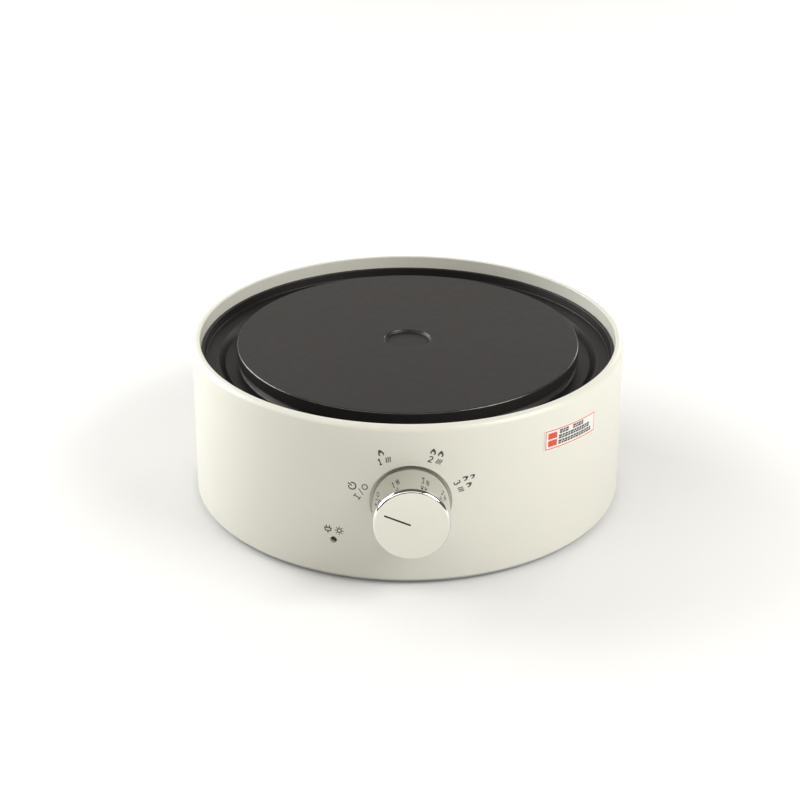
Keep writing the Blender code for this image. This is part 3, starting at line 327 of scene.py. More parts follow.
def link(tree, source, target):
    tree.links.new(source, target)


def add_node(tree, kind, **settings):
    node = tree.nodes.new(kind)
    for key, value in settings.items():
        setattr(node, key, value)
    return node


def math_of(tree, operation, *sources):
    node = add_node(tree, "ShaderNodeMath", operation=operation)
    for source, socket in zip(sources, node.inputs):
        link(tree, source, socket)
    return node.outputs[0]


def coordinates(tree, radial=False):
    """Object coordinates in metres, or (radius, 0, height) about the object's Z."""
    source = add_node(tree, "ShaderNodeTexCoord").outputs["Object"]
    if not radial:
        return source
    parts = add_node(tree, "ShaderNodeSeparateXYZ")
    link(tree, source, parts.inputs[0])
    squares = [math_of(tree, "MULTIPLY", parts.outputs[k], parts.outputs[k]) for k in "XY"]
    ring = add_node(tree, "ShaderNodeCombineXYZ")
    link(tree, math_of(tree, "SQRT", math_of(tree, "ADD", *squares)), ring.inputs["X"])
    link(tree, parts.outputs["Z"], ring.inputs["Z"])
    return ring.outputs[0]


def noise_of(tree, vector, scale, kind="noise"):
    if kind == "voronoi":
        node = add_node(tree, "ShaderNodeTexVoronoi", feature="F1")
        output = node.outputs["Distance"]
    else:
        node = add_node(tree, "ShaderNodeTexNoise")
        node.inputs["Detail"].default_value = 3.0
        node.inputs["Roughness"].default_value = 0.55
        output = node.outputs["Fac"]
    node.inputs["Scale"].default_value = scale
    link(tree, vector, node.inputs["Vector"])
    return output


def surface(name, tones, roughness, bumps, scales, metallic=0.0, radial=False, specks=None,
            **sockets):
    """A Principled material: two tones mixed by noise, uneven roughness, and layers of bump.

    The scales are those of the tones' noise and of the roughness's.
    A bump is (scale, distance in metres), with "voronoi" after them if it isn't noise.
    Specks are (colour, scale, share). Other names are the shader's sockets.
    """
    material = bpy.data.materials.new(name)
    material.use_nodes = True
    tree = material.node_tree
    shader = tree.nodes["Principled BSDF"]
    vector = coordinates(tree, radial)
    mix = add_node(tree, "ShaderNodeMix", data_type="RGBA")
    mix.inputs["A"].default_value = (*tones[0], 1)
    mix.inputs["B"].default_value = (*tones[1], 1)
    link(tree, noise_of(tree, vector, scales[0]), mix.inputs["Factor"])
    colour = mix.outputs["Result"]
    if specks:
        speck_colour, speck_scale, share = specks
        threshold = add_node(tree, "ShaderNodeMapRange")
        threshold.inputs["From Min"].default_value = share
        threshold.inputs["From Max"].default_value = share * 0.55
        link(tree, noise_of(tree, vector, speck_scale, "voronoi"), threshold.inputs["Value"])
        dusted = add_node(tree, "ShaderNodeMix", data_type="RGBA")
        dusted.inputs["B"].default_value = (*speck_colour, 1)
        link(tree, colour, dusted.inputs["A"])
        link(tree, threshold.outputs["Result"], dusted.inputs["Factor"])
        colour = dusted.outputs["Result"]
    link(tree, colour, shader.inputs["Base Color"])
    uneven = add_node(tree, "ShaderNodeMapRange")
    uneven.inputs["To Min"].default_value = roughness[0]
    uneven.inputs["To Max"].default_value = roughness[1]
    link(tree, noise_of(tree, vector, scales[1]), uneven.inputs["Value"])
    link(tree, uneven.outputs["Result"], shader.inputs["Roughness"])
    normal = None
    for scale, distance, *kind in bumps:
        bump = add_node(tree, "ShaderNodeBump")
        bump.inputs["Distance"].default_value = distance
        link(tree, noise_of(tree, vector, scale, *kind), bump.inputs["Height"])
        if normal is not None:
            link(tree, normal, bump.inputs["Normal"])
        normal = bump.outputs["Normal"]
    if normal is not None:
        link(tree, normal, shader.inputs["Normal"])
    shader.inputs["Metallic"].default_value = metallic
    for key, value in sockets.items():
        shader.inputs[key.replace("_", " ")].default_value = value
    return material


casing_white = surface(
    "casing_plastic", ((0.655, 0.645, 0.570), (0.675, 0.665, 0.592)), (0.30, 0.38),
    [(1500, 6e-6), (60, 3e-5)], scales=(9, 140),
)
pan_black = surface(
    "pan_enamel", ((0.0038, 0.0034, 0.0032), (0.0056, 0.0051, 0.0048)), (0.42, 0.52),
    [(260, 1.5e-5), (2200, 3e-6)], scales=(40, 90),
    specks=((0.03, 0.028, 0.027), 420, 0.10), Specular_Tint=(1, 0.94, 0.91, 1),
)
plate_dark = surface(
    "plate_iron", ((0.0085, 0.0078, 0.0074), (0.0125, 0.0115, 0.011)), (0.44, 0.54),
    [(1800, 5e-6), (160, 1.2e-5)], scales=(30, 200),
    specks=((0.035, 0.032, 0.030), 500, 0.09), Specular_Tint=(1, 0.94, 0.91, 1),
)
plate_edge = surface(
    "plate_worn_edge", ((0.035, 0.033, 0.031), (0.11, 0.105, 0.10)), (0.17, 0.26),
    [(1800, 4e-6)], metallic=0.85, scales=(260, 300),
)
chrome_side = surface(
    "knob_chrome", ((0.72, 0.72, 0.69), (0.76, 0.76, 0.73)), (0.035, 0.06),
    [(90, 4e-6)], metallic=1.0, scales=(60, 120),
)
chrome_face = surface(
    "knob_face", ((0.67, 0.67, 0.59), (0.705, 0.705, 0.625)), (0.10, 0.16),
    [(2600, 1.2e-6)], metallic=1.0, scales=(300, 900), radial=True,
)
pointer_ink = surface(
    "pointer_fill", ((0.018, 0.014, 0.012), (0.035, 0.03, 0.026)), (0.5, 0.65),
    [(3000, 6e-6)], scales=(900, 900),
)
print_ink = surface(
    "print_ink", ((0.035, 0.034, 0.031), (0.060, 0.058, 0.053)), (0.42, 0.55),
    [(2600, 3e-6)], scales=(700, 500),
)
label_paper = surface(
    "label_paper", ((0.715, 0.71, 0.665), (0.745, 0.74, 0.70)), (0.28, 0.38),
    [(1800, 5e-6)], scales=(90, 300),
)
label_border = surface(
    "label_border_ink", ((0.66, 0.15, 0.085), (0.74, 0.19, 0.12)), (0.35, 0.45),
    [(2400, 2e-6)], scales=(500, 500),
)
label_red = surface(
    "label_red_ink", ((0.62, 0.040, 0.010), (0.70, 0.060, 0.018)), (0.35, 0.45),
    [(2400, 2e-6)], scales=(500, 500),
)
lens_smoke = surface(
    "lens_plastic", ((0.036, 0.031, 0.021), (0.054, 0.047, 0.033)), (0.22, 0.30),
    [(1200, 6e-6)], scales=(400, 400), Coat_Weight=0.3,
)
inlet_black = surface(
    "inlet_plastic", ((0.014, 0.014, 0.0145), (0.022, 0.022, 0.0225)), (0.38, 0.52),
    [(1600, 1.2e-5), (90, 2e-5)], scales=(60, 200),
)
plated_steel = surface(
    "plated_steel", ((0.50, 0.50, 0.49), (0.60, 0.60, 0.585)), (0.30, 0.46),
    [(500, 8e-6, "voronoi"), (1500, 4e-6)], metallic=1.0, scales=(45, 70),
)
bright_steel = surface(
    "bright_steel", ((0.58, 0.58, 0.57), (0.66, 0.66, 0.65)), (0.20, 0.32),
    [(1800, 4e-6)], metallic=1.0, scales=(150, 400),
)
pin_brass = surface(
    "pin_brass", ((0.66, 0.63, 0.55), (0.74, 0.71, 0.63)), (0.20, 0.32),
    [(1500, 4e-6)], metallic=1.0, scales=(200, 300),
)
foot_rubber = surface(
    "foot_rubber", ((0.022, 0.021, 0.020), (0.036, 0.034, 0.032)), (0.66, 0.82),
    [(1400, 2e-5), (300, 2e-5)], scales=(120, 300),
)

HIDDEN_FINISHES = {"plated_steel": plated_steel, "bright_steel": bright_steel}


def add_finish(name, *recipe, **more):
    """A finish for the CAD nodes inside, kept under its material slot's name."""
    HIDDEN_FINISHES[name] = surface(name, *recipe, **more)


add_finish(
    "contact_brass", ((0.62, 0.46, 0.20), (0.72, 0.54, 0.26)), (0.24, 0.38), [(1200, 5e-6)],
    metallic=1.0, scales=(160, 300),
)
add_finish(
    "element_sheath", ((0.16, 0.13, 0.12), (0.28, 0.23, 0.21)), (0.42, 0.60), [(700, 1.5e-5)],
    metallic=1.0, scales=(70, 220),
)
add_finish(
    "lamp_glass", ((0.80, 0.42, 0.20), (0.88, 0.52, 0.28)), (0.05, 0.12), [(700, 4e-6)],
    scales=(200, 300), Transmission_Weight=0.7,
)
add_finish(
    "insulation_board", ((0.66, 0.63, 0.56), (0.76, 0.74, 0.68)), (0.80, 0.95),
    [(900, 6e-5), (220, 5e-5)], scales=(150, 200),
)
add_finish(
    "brown_phenolic", ((0.060, 0.028, 0.014), (0.095, 0.045, 0.022)), (0.34, 0.50),
    [(900, 1.5e-5)], scales=(120, 250),
)
add_finish(
    "switch_plastic", ((0.70, 0.69, 0.64), (0.78, 0.77, 0.72)), (0.34, 0.46), [(900, 1e-5)],
    scales=(80, 250),
)
add_finish(
    "fuse_ceramic", ((0.70, 0.66, 0.60), (0.80, 0.77, 0.72)), (0.45, 0.60), [(1600, 1e-5)],
    scales=(300, 300),
)
SLEEVES = {
    "sleeve_brown": (0.110, 0.045, 0.020),
    "sleeve_blue": (0.020, 0.075, 0.300),
    "sleeve_green": (0.130, 0.330, 0.060),
    "sleeve_red": (0.420, 0.025, 0.020),
    "sleeve_white": (0.680, 0.670, 0.640),
}
for sleeve, tone in SLEEVES.items():
    darker = tuple(0.82 * part for part in tone)
    add_finish(sleeve, (darker, tone), (0.42, 0.56), [(900, 2e-5)], scales=(120, 300))


# ---------------------------------------------------------------- casing


def wall_radius(height, inner=False):
    share = (height - CASING_BOTTOM) / (RIM_HEIGHT - RIM_ROUNDING - CASING_BOTTOM)
    radius = BASE_RADIUS + (RIM_RADIUS - BASE_RADIUS) * share
    return radius - WALL if inner else radius


def wall_reach(x, height, inner=False):
    """How far out the wall is, along a line parallel to an outward axis and x beside it."""
    return math.sqrt(wall_radius(height, inner) ** 2 - x * x)


def casing_spot(radius, angle, height):
    """The angle is 0 in front of the knob, and grows towards its right."""
    return (radius * math.sin(angle), AXIS_Y - radius * math.cos(angle), height)


def sided_circle(radius, centre, across, up):
    """A circle's points in four quarters that match a window's four sides."""
    out = []
    for side, count in enumerate((across, up, across, up)):
        for i in range(count):
            out.append(polar(radius, math.radians(-135 + 90 * (side + i / count)), 0, centre))
    return out


def sided_box(half_x, half_y, corner, centre, across, up):
    """A rounded rectangle's points in four runs that match a window's four sides."""
    out = []
    arc_steps = 3
    for side, count in enumerate((across, up, across, up)):
        along, out_by = (half_x, half_y) if side % 2 == 0 else (half_y, half_x)
        for i in range(count):
            if i < arc_steps:
                angle = math.radians(-135 + 45 * i / arc_steps)
                point = polar(corner, angle, corner - along, corner - out_by)
            elif i <= count - arc_steps:
                share = (i - arc_steps) / (count - 2 * arc_steps)
                point = ((along - corner) * (2 * share - 1), -out_by)
            else:
                angle = math.radians(-90 + 45 * (i - count + arc_steps) / arc_steps)
                point = polar(corner, angle, along - corner, corner - out_by)
            turned = Matrix.Rotation(math.radians(90 * side), 2) @ Vector(point)
            out.append((turned.x, centre + turned.y))
    return out


class Window:
    """An opening through the casing's wall, between columns and rows of its grid."""

    def __init__(self, azimuth, half_columns, low, high):
        self.azimuth = azimuth
        self.first = round(azimuth) - half_columns
        self.columns = 2 * half_columns
        self.low, self.high = low, high
        self.loops = []

    def covers(self, column, low, high):
        inside = (column - self.first) % COLUMNS < self.columns
        return inside and low > self.low - CLOSE and high < self.high + CLOSE

    def add(self, outline, reach):
        """reach is a distance from the casing's axis, or a function of (x, height)."""
        at = reach if callable(reach) else lambda x, height: reach
        self.loops.append([(x, at(x, height), height) for x, height in outline])

    def edge(self, make, size):
        """A rounded edge from the wall into the opening. make(offset) is its outline."""
        for k in range(5):
            angle = math.radians(90 * k / 4)
            depth = size * (1 - math.cos(angle))
            outline = make(size * (1 - math.sin(angle)))
            self.add(outline, lambda x, z, d=depth: wall_reach(x, z) - d)


def make_casing():
    """The shell: a grid turned round the axis, left open at three windows and bridged there."""
    rim = RIM_HEIGHT - RIM_ROUNDING
    rows = sorted(
        [CASING_BOTTOM + 0.5 * MM, 8 * MM]
        + [(12 + 28 * i / 8) * MM for i in range(9)]
        + [(44 + 3 * i) * MM for i in range(10)]
        + [SHELF_UNDER, 80 * MM, rim]
    )
    outer = [(wall_radius(z), z) for z in rows]
    arc = []
    for k in range(1, 9):
        angle = math.radians(90 * k / 8)
        arc.append(polar(RIM_ROUNDING, angle, RIM_RADIUS - RIM_ROUNDING, rim))
    shelf = [
        (RIM_RADIUS - RIM_ROUNDING, RIM_HEIGHT, 0),
        (RIM_INNER, RIM_HEIGHT, 0.6 * MM),
        (RIM_INNER, SHELF, 0.2 * MM),
        (SHELF_RADIUS, SHELF, 0.2 * MM),
        (SHELF_RADIUS, SHELF - 2 * MM, 0),
        (wall_radius(SHELF_UNDER, True), SHELF_UNDER, 0),
    ]
    inside = rounded(shelf)[1:]
    inner_rows = [z for z in rows if z < SHELF_UNDER - CLOSE]
    inner = [(wall_radius(z, True), z) for z in reversed(inner_rows)]
    foot = [
        (*inner[-1], 0),
        (inner[-1][0], CASING_BOTTOM, 0.3 * MM),
        (BASE_RADIUS, CASING_BOTTOM, 0.4 * MM),
        (BASE_RADIUS, CASING_BOTTOM + 0.5 * MM, 0),
    ]
    profile = outer + arc + inside + inner + rounded(foot)[1:-1]
    # The place in the profile of each grid row, outside and inside, by its height in mm.
    outer_row = {round(z / MM, 3): i for i, z in enumerate(rows)}
    offset = len(outer) + len(arc) + len(inside)
    inner_row = {round(z / MM, 3): offset + i for i, z in enumerate(reversed(inner_rows))}

    # Each window's loops of points run from the wall's face inwards.
    knob = Window(0, 12, 22.5 * MM, 71 * MM)
    lamp = Window(LAMP_AZIMUTH, 2, 19 * MM, 26 * MM)
    inlet = Window(180, 15, 12 * MM, 40 * MM)
    for window in (knob, lamp, inlet):
        inside_rows = [z for z in rows if window.low - CLOSE < z < window.high + CLOSE]
        window.rows = [round(z / MM, 3) for z in inside_rows]
        window.up = len(inside_rows) - 1

    def inner_wall(x, height):
        return wall_reach(x, height, True)

    def seat(radius):
        return sided_circle(radius, KNOB_HEIGHT, knob.columns, knob.up)

    knob.edge(lambda offset: seat(SEAT_RADIUS + offset), 0.25 * MM)
    for radius in (SEAT_RADIUS, 13 * MM, NECK_RADIUS):
        knob.add(seat(radius), SEAT_FLOOR)
    for radius in (NECK_RADIUS, 14 * MM, PAD_RADIUS):
        knob.add(seat(radius), PAD_FACE)
    knob.add(seat(PAD_RADIUS), inner_wall)

    def lamp_hole(offset):
        return sided_circle(LAMP_RADIUS + offset, LAMP_HEIGHT, lamp.columns * 4, lamp.up * 4)

    lamp.edge(lamp_hole, 0.2 * MM)
    lamp.add(lamp_hole(0), inner_wall)

    def pocket(offset):
        sizes = (side * MM + offset for side in (25.8, 11.8, 1.6))
        return sided_box(*sizes, INLET_HEIGHT, inlet.columns, inlet.up)

    inlet.edge(pocket, 0.4 * MM)
    aperture = sided_box(14.0 * MM, 10.3 * MM, 0.5 * MM, INLET_HEIGHT, inlet.columns, inlet.up)
    backing = sided_box(28 * MM, 13.2 * MM, 1 * MM, INLET_HEIGHT, inlet.columns, inlet.up)
    inlet.add(pocket(0), POCKET_FLOOR)
    inlet.add(aperture, POCKET_FLOOR)
    inlet.add(aperture, POCKET_BACK)
    inlet.add(backing, POCKET_BACK)
    inlet.add(backing, inner_wall)

    # The grid, whose walls have no faces at the windows.
    verts, faces = [], []
    for radius, height in profile:
        for column in range(COLUMNS):
            verts.append(casing_spot(radius, math.radians(column), height))
    count = len(profile)
    walls = set()
    for row in (sorted(outer_row.values()), sorted(inner_row.values())):
        walls.update(zip(row, row[1:]))
    for j in range(count):
        k = (j + 1) % count
        low, high = sorted((profile[j][1], profile[k][1]))
        for column in range(COLUMNS):
            after = (column + 1) % COLUMNS
            if (j, k) in walls and any(w.covers(column, low, high) for w in (knob, lamp, inlet)):
                continue
            near, far = j * COLUMNS, k * COLUMNS
            faces.append((near + column, near + after, far + after, far + column))

    def boundary(window, row_index):
        """The grid's points round a window, in the order of the window's four sides."""
        first, last = window.first, window.first + window.columns
        indices = [row_index[z] for z in window.rows]
        ring = [indices[0] * COLUMNS + c % COLUMNS for c in range(first, last)]
        ring += [j * COLUMNS + last % COLUMNS for j in indices[:-1]]
        ring += [indices[-1] * COLUMNS + c % COLUMNS for c in range(last, first, -1)]
        ring += [j * COLUMNS + first % COLUMNS for j in reversed(indices[1:])]
        return ring

    # From the grid's edge, rings of points draw in along the wall to the first loop.
    for window, steps in ((knob, 3), (lamp, 2), (inlet, 2)):
        turn = math.radians(window.azimuth)
        out = Vector((math.sin(turn), -math.cos(turn), 0))
        side = Vector((math.cos(turn), math.sin(turn), 0))

        def local(index):
            point = Vector(verts[index]) - Vector((0, AXIS_Y, 0))
            return point.dot(side), point.z

        def world(x, distance, height):
            return tuple(side * x + out * distance + Vector((0, AXIS_Y, height)))

        start, end = boundary(window, outer_row), boundary(window, inner_row)
        ratio = len(window.loops[0]) // len(start)
        rings = [start]
        first_loop = window.loops[0][::ratio]
        for k in range(1, steps):
            share = (k / steps) ** 0.8
            ring = []
            for index, (x, _, height) in zip(start, first_loop):
                near = local(index)
                px = near[0] + (x - near[0]) * share
                pz = near[1] + (height - near[1]) * share
                ring.append(len(verts))
                verts.append(world(px, wall_reach(px, pz), pz))
            rings.append(ring)
        loops = []
        for loop in window.loops:
            loops.append(list(range(len(verts), len(verts) + len(loop))))
            verts.extend(world(*point) for point in loop)
        bridge(faces, rings)
        for coarse, fine in ((rings[-1], loops[0]), (end, loops[-1])):
            for i in range(len(coarse)):
                j = (i + 1) % len(coarse)
                fan = [fine[(i * ratio + k) % len(fine)] for k in range(ratio, -1, -1)]
                faces.append((coarse[i], coarse[j], *fan))
        bridge(faces, loops)
    return mesh_from("casing_shell", verts, faces)


add_piece("casing_shell", make_casing(), casing_white, ["outer_casing"])


# ---------------------------------------------------------------- pan and plate


def make_pan():
    """A bent sheet: its upper line runs inwards from the lip, its lower line lies under that."""
    sheet = 0.6 * MM
    lip = [(110.4, 81.2, 0), (108.9, 81.2, 0.35), (108.1, 76.7, 0.5), (101.5, 76.4, 2.5)]
    gutter = [(97.6, 73.0, 2.0), (90.2, 73.0, 1.6), (87.0, 77.2, 1.4), (70.0, 77.2, 0)]
    upper = in_mm(lip + gutter)
    slopes = []
    for a, b in zip(upper, upper[1:]):
        slopes.append((Vector(b[:2]) - Vector(a[:2])).normalized())
    lower = []
    for (x, y, radius), before, after in zip(upper, [slopes[0], *slopes], [*slopes, slopes[-1]]):
        under = Vector((-before.y - after.y, before.x + after.x)) * sheet / (1 + before.dot(after))
        bend = sheet if before.cross(after) < 0 else -sheet  # wider outside a bend
        lower.append((x + under.x, y + under.y, max(0.1 * MM, radius + bend) if radius else 0))
    outline = rounded(upper, 6) + rounded(lower, 6)[::-1]
    return lathe("drip_pan_sheet", outline, 256, ring=True)


def make_plate():
    """The plate, with its centre recess and the ribs under it. Its worn edges are material 1."""
    radius, top, under, rib = 91.5, 84, 77.5, 70.5
    recess = [(0, 82.5, 0), (11.9, 82.5, 0.5), (12.5, top, 0.35)]
    rim = [(radius, top, 0.8), (radius, under, 0.4), (61.7, under, 0.5)]
    ribs = [(61.7, rib, 0.3)]
    for outer, inner in ((57.7, 50.3), (37.7, 30.3)):
        ribs += [(outer, rib, 0.3), (outer, 75.8, 0.4), (inner, 75.8, 0.4), (inner, rib, 0.3)]
    ribs += [(26.3, rib, 0.3), (26.3, under, 0.5), (0, under, 0)]
    plate = lathe("hot_plate_top", rounded(in_mm(recess + rim + ribs)), 256)
    for face in plate.polygons:
        reach = math.hypot(face.center.x, face.center.y) / MM
        at_edge = reach > radius - 0.55 or 12.0 < reach < 12.9
        if at_edge and face.center.z > (top - 0.6) * MM:
            face.material_index = 1
    return plate


add_piece("drip_pan_sheet", make_pan(), pan_black, ["drip_pan"], place=axis_frame())
add_piece(
    "hot_plate_top", make_plate(), [plate_dark, plate_edge], ["heating_plate"],
    place=axis_frame(),
)


# ---------------------------------------------------------------- knob


def make_knob():
    """The shell, with the pointer's slot in it. Its face is material 1, and the slot is 2."""
    face = KNOB_FACE
    shoulder = [(17.6, 0.0), (17.95, 0.12), (18.25, 0.32), (18.5, 0.6), (18.72, 1.0)]
    shoulder += [(18.87, 1.5), (18.97, 2.0), (19.05, 2.5)]
    profile = [(0, face), (10 * MM, face)]
    profile += [(radius * MM, face - depth * MM) for radius, depth in shoulder]
    profile += [(19.2 * MM, KNOB_BACK + 0.3 * MM), (19.0 * MM, KNOB_BACK), (17.2 * MM, KNOB_BACK)]
    profile += [(16.4 * MM, face - 2.6 * MM), (5.6 * MM, face - 2.6 * MM)]
    profile += in_mm([(5.6, 115.5), (3.4, 115.5), (3.4, 129.5), (0, 129.5)])
    half_width = 0.45 * MM
    outline = slot_outline(0.4 * MM + half_width, 14.4 * MM - half_width, half_width, 6)
    slot = prism("slot", outline, face - 0.5 * MM, face + 1 * MM)
    mesh = carved(lathe("knob_shell", profile, 192), slot)
    mesh.materials.clear()
    for polygon in mesh.polygons:
        centre = polygon.center
        radius = math.hypot(centre.x, centre.y)
        flat = polygon.normal.z > 0.999
        if flat and centre.z > face - 0.1 * MM:
            polygon.material_index = 1
        elif face - 0.55 * MM < centre.z < face - 0.01 * MM and radius < 16 * MM:
            polygon.material_index = 2
    return mesh


knob_place = outward_frame(0, KNOB_HEIGHT) @ spun(POINTER_REST)
add_piece(
    "knob_shell", make_knob(), [chrome_side, chrome_face, pointer_ink], ["knob"],
    body="knob", place=knob_place,
)


# ---------------------------------------------------------------- lamp lens


def make_lens():
    dome = [(0, 0.05), (0.5, 0.03), (1.0, -0.1), (1.35, -0.3), (1.45, -0.6)]
    profile = [(radius * MM, LENS_FRONT + rise * MM) for radius, rise in dome]
    profile += in_mm([(1.45, 112.4), (2.6, 112.4), (2.6, 110.8), (0, 110.8)])
    return lathe("lamp_lens", profile, 40, sharp=40)


add_piece(
    "lamp_lens", make_lens(), lens_smoke, ["indicator_lens"],
    place=outward_frame(LAMP_AZIMUTH, LAMP_HEIGHT),
)


# ---------------------------------------------------------------- printed marks


LONGEST_STEP = 1.2  # in mm, so that a long line bends with the wall


class WallPrint:
    """Thin prisms that lie on the wall. Marks are drawn in mm, then turned and placed."""

    def __init__(self, name, low, high):
        self.name = name
        self.low, self.high = low, high
        self.verts, self.faces = [], []

    def at(self, azimuth, height, tilt=0.0, shear=0.0):
        """Where the marks that follow go. Azimuth and tilt are in degrees."""
        self.azimuth, self.height = azimuth, height
        self.tilt, self.shear = math.radians(tilt), shear
        return self

    def spot(self, point, lift):
        x = point[0] * math.cos(self.tilt) - point[1] * math.sin(self.tilt)
        y = point[0] * math.sin(self.tilt) + point[1] * math.cos(self.tilt) + self.shear * point[0]
        azimuth = self.azimuth + math.degrees(x * MM / wall_radius(self.height))
        height = self.height + y * MM
        return casing_spot(wall_radius(height) + lift, math.radians(azimuth), height)

    def ribbon(self, left, right, closed=False):
        """A strip between two rows of points."""
        base = len(self.verts)
        count = len(left)
        for lift in (self.low, self.high):
            self.verts += [self.spot(p, lift) for p in (*left, *right)]
        a, b, c, d = (base + k * count for k in range(4))
        for i in range(count if closed else count - 1):
            j = (i + 1) % count
            self.faces += [
                (c + i, c + j, d + j, d + i),
                (a + i, b + i, b + j, a + j),
                (a + i, a + j, c + j, c + i),
                (b + j, b + i, d + i, d + j),
            ]
        if not closed:
            last = count - 1
            self.faces += [(a, c, d, b), (a + last, b + last, d + last, c + last)]

    def stroke(self, points, width, closed=False):
        """A line of that width through the points, with mitred corners."""
        fine = []
        count = len(points)
        for i in range(count if closed else count - 1):
            a, b = Vector(points[i]), Vector(points[(i + 1) % count])
            pieces = max(1, math.ceil((b - a).length / LONGEST_STEP))
            fine += [a.lerp(b, k / pieces) for k in range(pieces)]
        if not closed:
            fine.append(Vector(points[-1]))
        left, right = [], []
        for i, point in enumerate(fine):
            lead = tail = None
            if closed or i > 0:
                lead = (point - fine[i - 1]).normalized()
            if closed or i < len(fine) - 1:
                tail = (fine[(i + 1) % len(fine)] - point).normalized()
            lead, tail = lead or tail, tail or lead
            normal = Vector((-(lead.y + tail.y), lead.x + tail.x)).normalized()
            reach = width / 2 / max(0.35, normal.dot(Vector((-lead.y, lead.x))))
            left.append(point + normal * reach)
            right.append(point - normal * reach)
        self.ribbon(left, right, closed)

    def mesh(self):
        return mesh_from(self.name, self.verts, self.faces)


def arc_points(x, y, radius, start, end, steps=10):
    out = []
    for k in range(steps + 1):
        out.append(polar(radius, math.radians(start + (end - start) * k / steps), x, y))
    return out


def draw_power(ink, size):
    ink.stroke(arc_points(0, 0, 1.5 * size, 122, 418, 20), 0.52 * size)
    ink.stroke([(0, 0.2 * size), (0, 2.05 * size)], 0.52 * size)


def draw_flame(ink, x=0.0, y=0.0, size=1.0):
    """A flame with an open heart: outer and inner edges joined as one ring, open below."""
    outer, inner = [], []
    steps = 24
    for k in range(steps + 1):
        turn = math.radians(-48 + 276 * k / steps)
        across, rise = math.cos(turn), math.sin(turn)
        peak = max(0.0, rise) ** 4
        tip = (1.42 * across - 0.3 * peak, 1.3 * rise + 0.95 * peak)
        outer.append((x + size * tip[0], y + size * tip[1]))
        inner.append((x + size * 0.7 * across, y + size * (0.72 * rise - 0.15)))
    ink.ribbon(outer, inner)


def draw_waves(ink, x):
    """Three rising lines, for heat."""
    for step in (-1, 0, 1):
        rises = [-1.35 + 2.7 * k / 8 for k in range(9)]
        ink.stroke([(x + (step + 0.32 * math.sin(rise * 2.4)), rise) for rise in rises], 0.5)


def draw_numeral(ink, number, x):
    width = 0.58
    if number == 1:
        ink.stroke([(x - 0.65, 0.9), (x + 0.1, 1.5), (x + 0.1, -1.5)], width)
        ink.stroke([(x - 0.6, -1.5), (x + 0.8, -1.5)], width)
    elif number == 2:
        ink.stroke([*arc_points(x, 0.65, 0.85, 165, -35), (x - 0.95, -1.5)], width)
        ink.stroke([(x - 1.0, -1.5), (x + 1.05, -1.5)], width)
    else:
        ink.stroke(arc_points(x - 0.05, 0.75, 0.75, 150, -88), width)
        ink.stroke(arc_points(x - 0.05, -0.70, 0.85, 88, -150), width)


def draw_on_off(ink):
    ink.stroke([(-3.5, -1.5), (-3.5, 1.5)], 0.55)
    ink.stroke([(-4.5, -1.5), (-2.5, -1.5)], 0.5)
    ink.stroke([(-4.5, 1.5), (-2.5, 1.5)], 0.5)
    ink.stroke([(-0.75, -1.9), (0.75, 1.9)], 0.42)
    ink.stroke(arc_points(3.4, 0, 1.35, 0, 340, 18), 0.5, closed=True)


def draw_plug(ink, x):
    ink.stroke([(x - 1.75, 0.6), (x + 1.75, 0.6), (x + 1.3, -1.0), (x - 1.3, -1.0)], 0.6, True)
    for pin in (x - 0.85, x + 0.85):
        ink.stroke([(pin, 0.6), (pin, 2.1)], 0.6)
    ink.stroke([(x, -1.0), (x, -2.2)], 0.6)


def draw_lamp(ink, x):
    ink.stroke(arc_points(x, 0, 1.05, 0, 342, 18), 0.58, closed=True)
    for turn in range(8):
        angle = math.radians(45 * turn)
        ink.stroke([polar(1.6, angle, x), polar(2.3, angle, x)], 0.52)


def draw_step(ink, number):
    """One of the dial's three numbers, with heat waves beside it."""
    draw_numeral(ink, number, -2.2)
    draw_waves(ink, 2.2)


marks = WallPrint("printed_marks", -0.02 * MM, 0.03 * MM)
draw_power(marks.at(-13.5 - CAMERA_TURN, 54.6 * MM, 56), 1.25)
draw_on_off(marks.at(-11.3 - CAMERA_TURN, 51.8 * MM, 56))
draw_flame(marks.at(-6.3 - CAMERA_TURN, 73.4 * MM, 19), size=1.05)
draw_step(marks.at(-5.6 - CAMERA_TURN, 69.7 * MM, 19), 1)
marks.at(7.2 - CAMERA_TURN, 73.4 * MM, -20.5)
draw_flame(marks, x=-2.0)
draw_flame(marks, x=2.0)
draw_step(marks.at(6.7 - CAMERA_TURN, 69.9 * MM, -20.5), 2)
marks.at(15.0 - CAMERA_TURN, 57.1 * MM, -63.4)
draw_flame(marks, x=-2.1, y=-0.8, size=0.9)
draw_flame(marks, x=2.1, y=-0.8, size=0.9)
draw_flame(marks, x=-1.0, y=2.8, size=0.8)
draw_step(marks.at(12.75 - CAMERA_TURN, 54.9 * MM, -63.4), 3)
marks.at(-18.4 - CAMERA_TURN, 28.4 * MM)
draw_plug(marks, -3.0)
draw_lamp(marks, 3.0)
add_piece("printed_marks", marks.mesh(), print_ink)


# ---------------------------------------------------------------- side label

LABEL_MIDDLE = 45.0  # degrees
LABEL_HEIGHT = 68.6 * MM
LABEL_SHEAR = -0.045
LABEL_INK = (0.15 * MM, 0.245 * MM)
# What follows is in mm, from the label's middle. A row of dashes is (height, start, end).
LABEL_HALF = 19.8
LABEL_TALL = 5.9
BORDER_INSET = 0.95
DASHES = (1.9, 1.4, 2.3, 1.6)
DASH_GAP = 0.38
DASH_ROWS = [(3.1, -9.6, -2.4), (3.1, 0.3, 9.7), (0.25, -10.1, 14.6), (-2.6, -10.3, 16.2)]


def label_print(name, low, high):
    """Prints that lie at the label's place, from low to high above the wall."""
    return WallPrint(name, low, high).at(LABEL_MIDDLE, LABEL_HEIGHT, 0, LABEL_SHEAR)


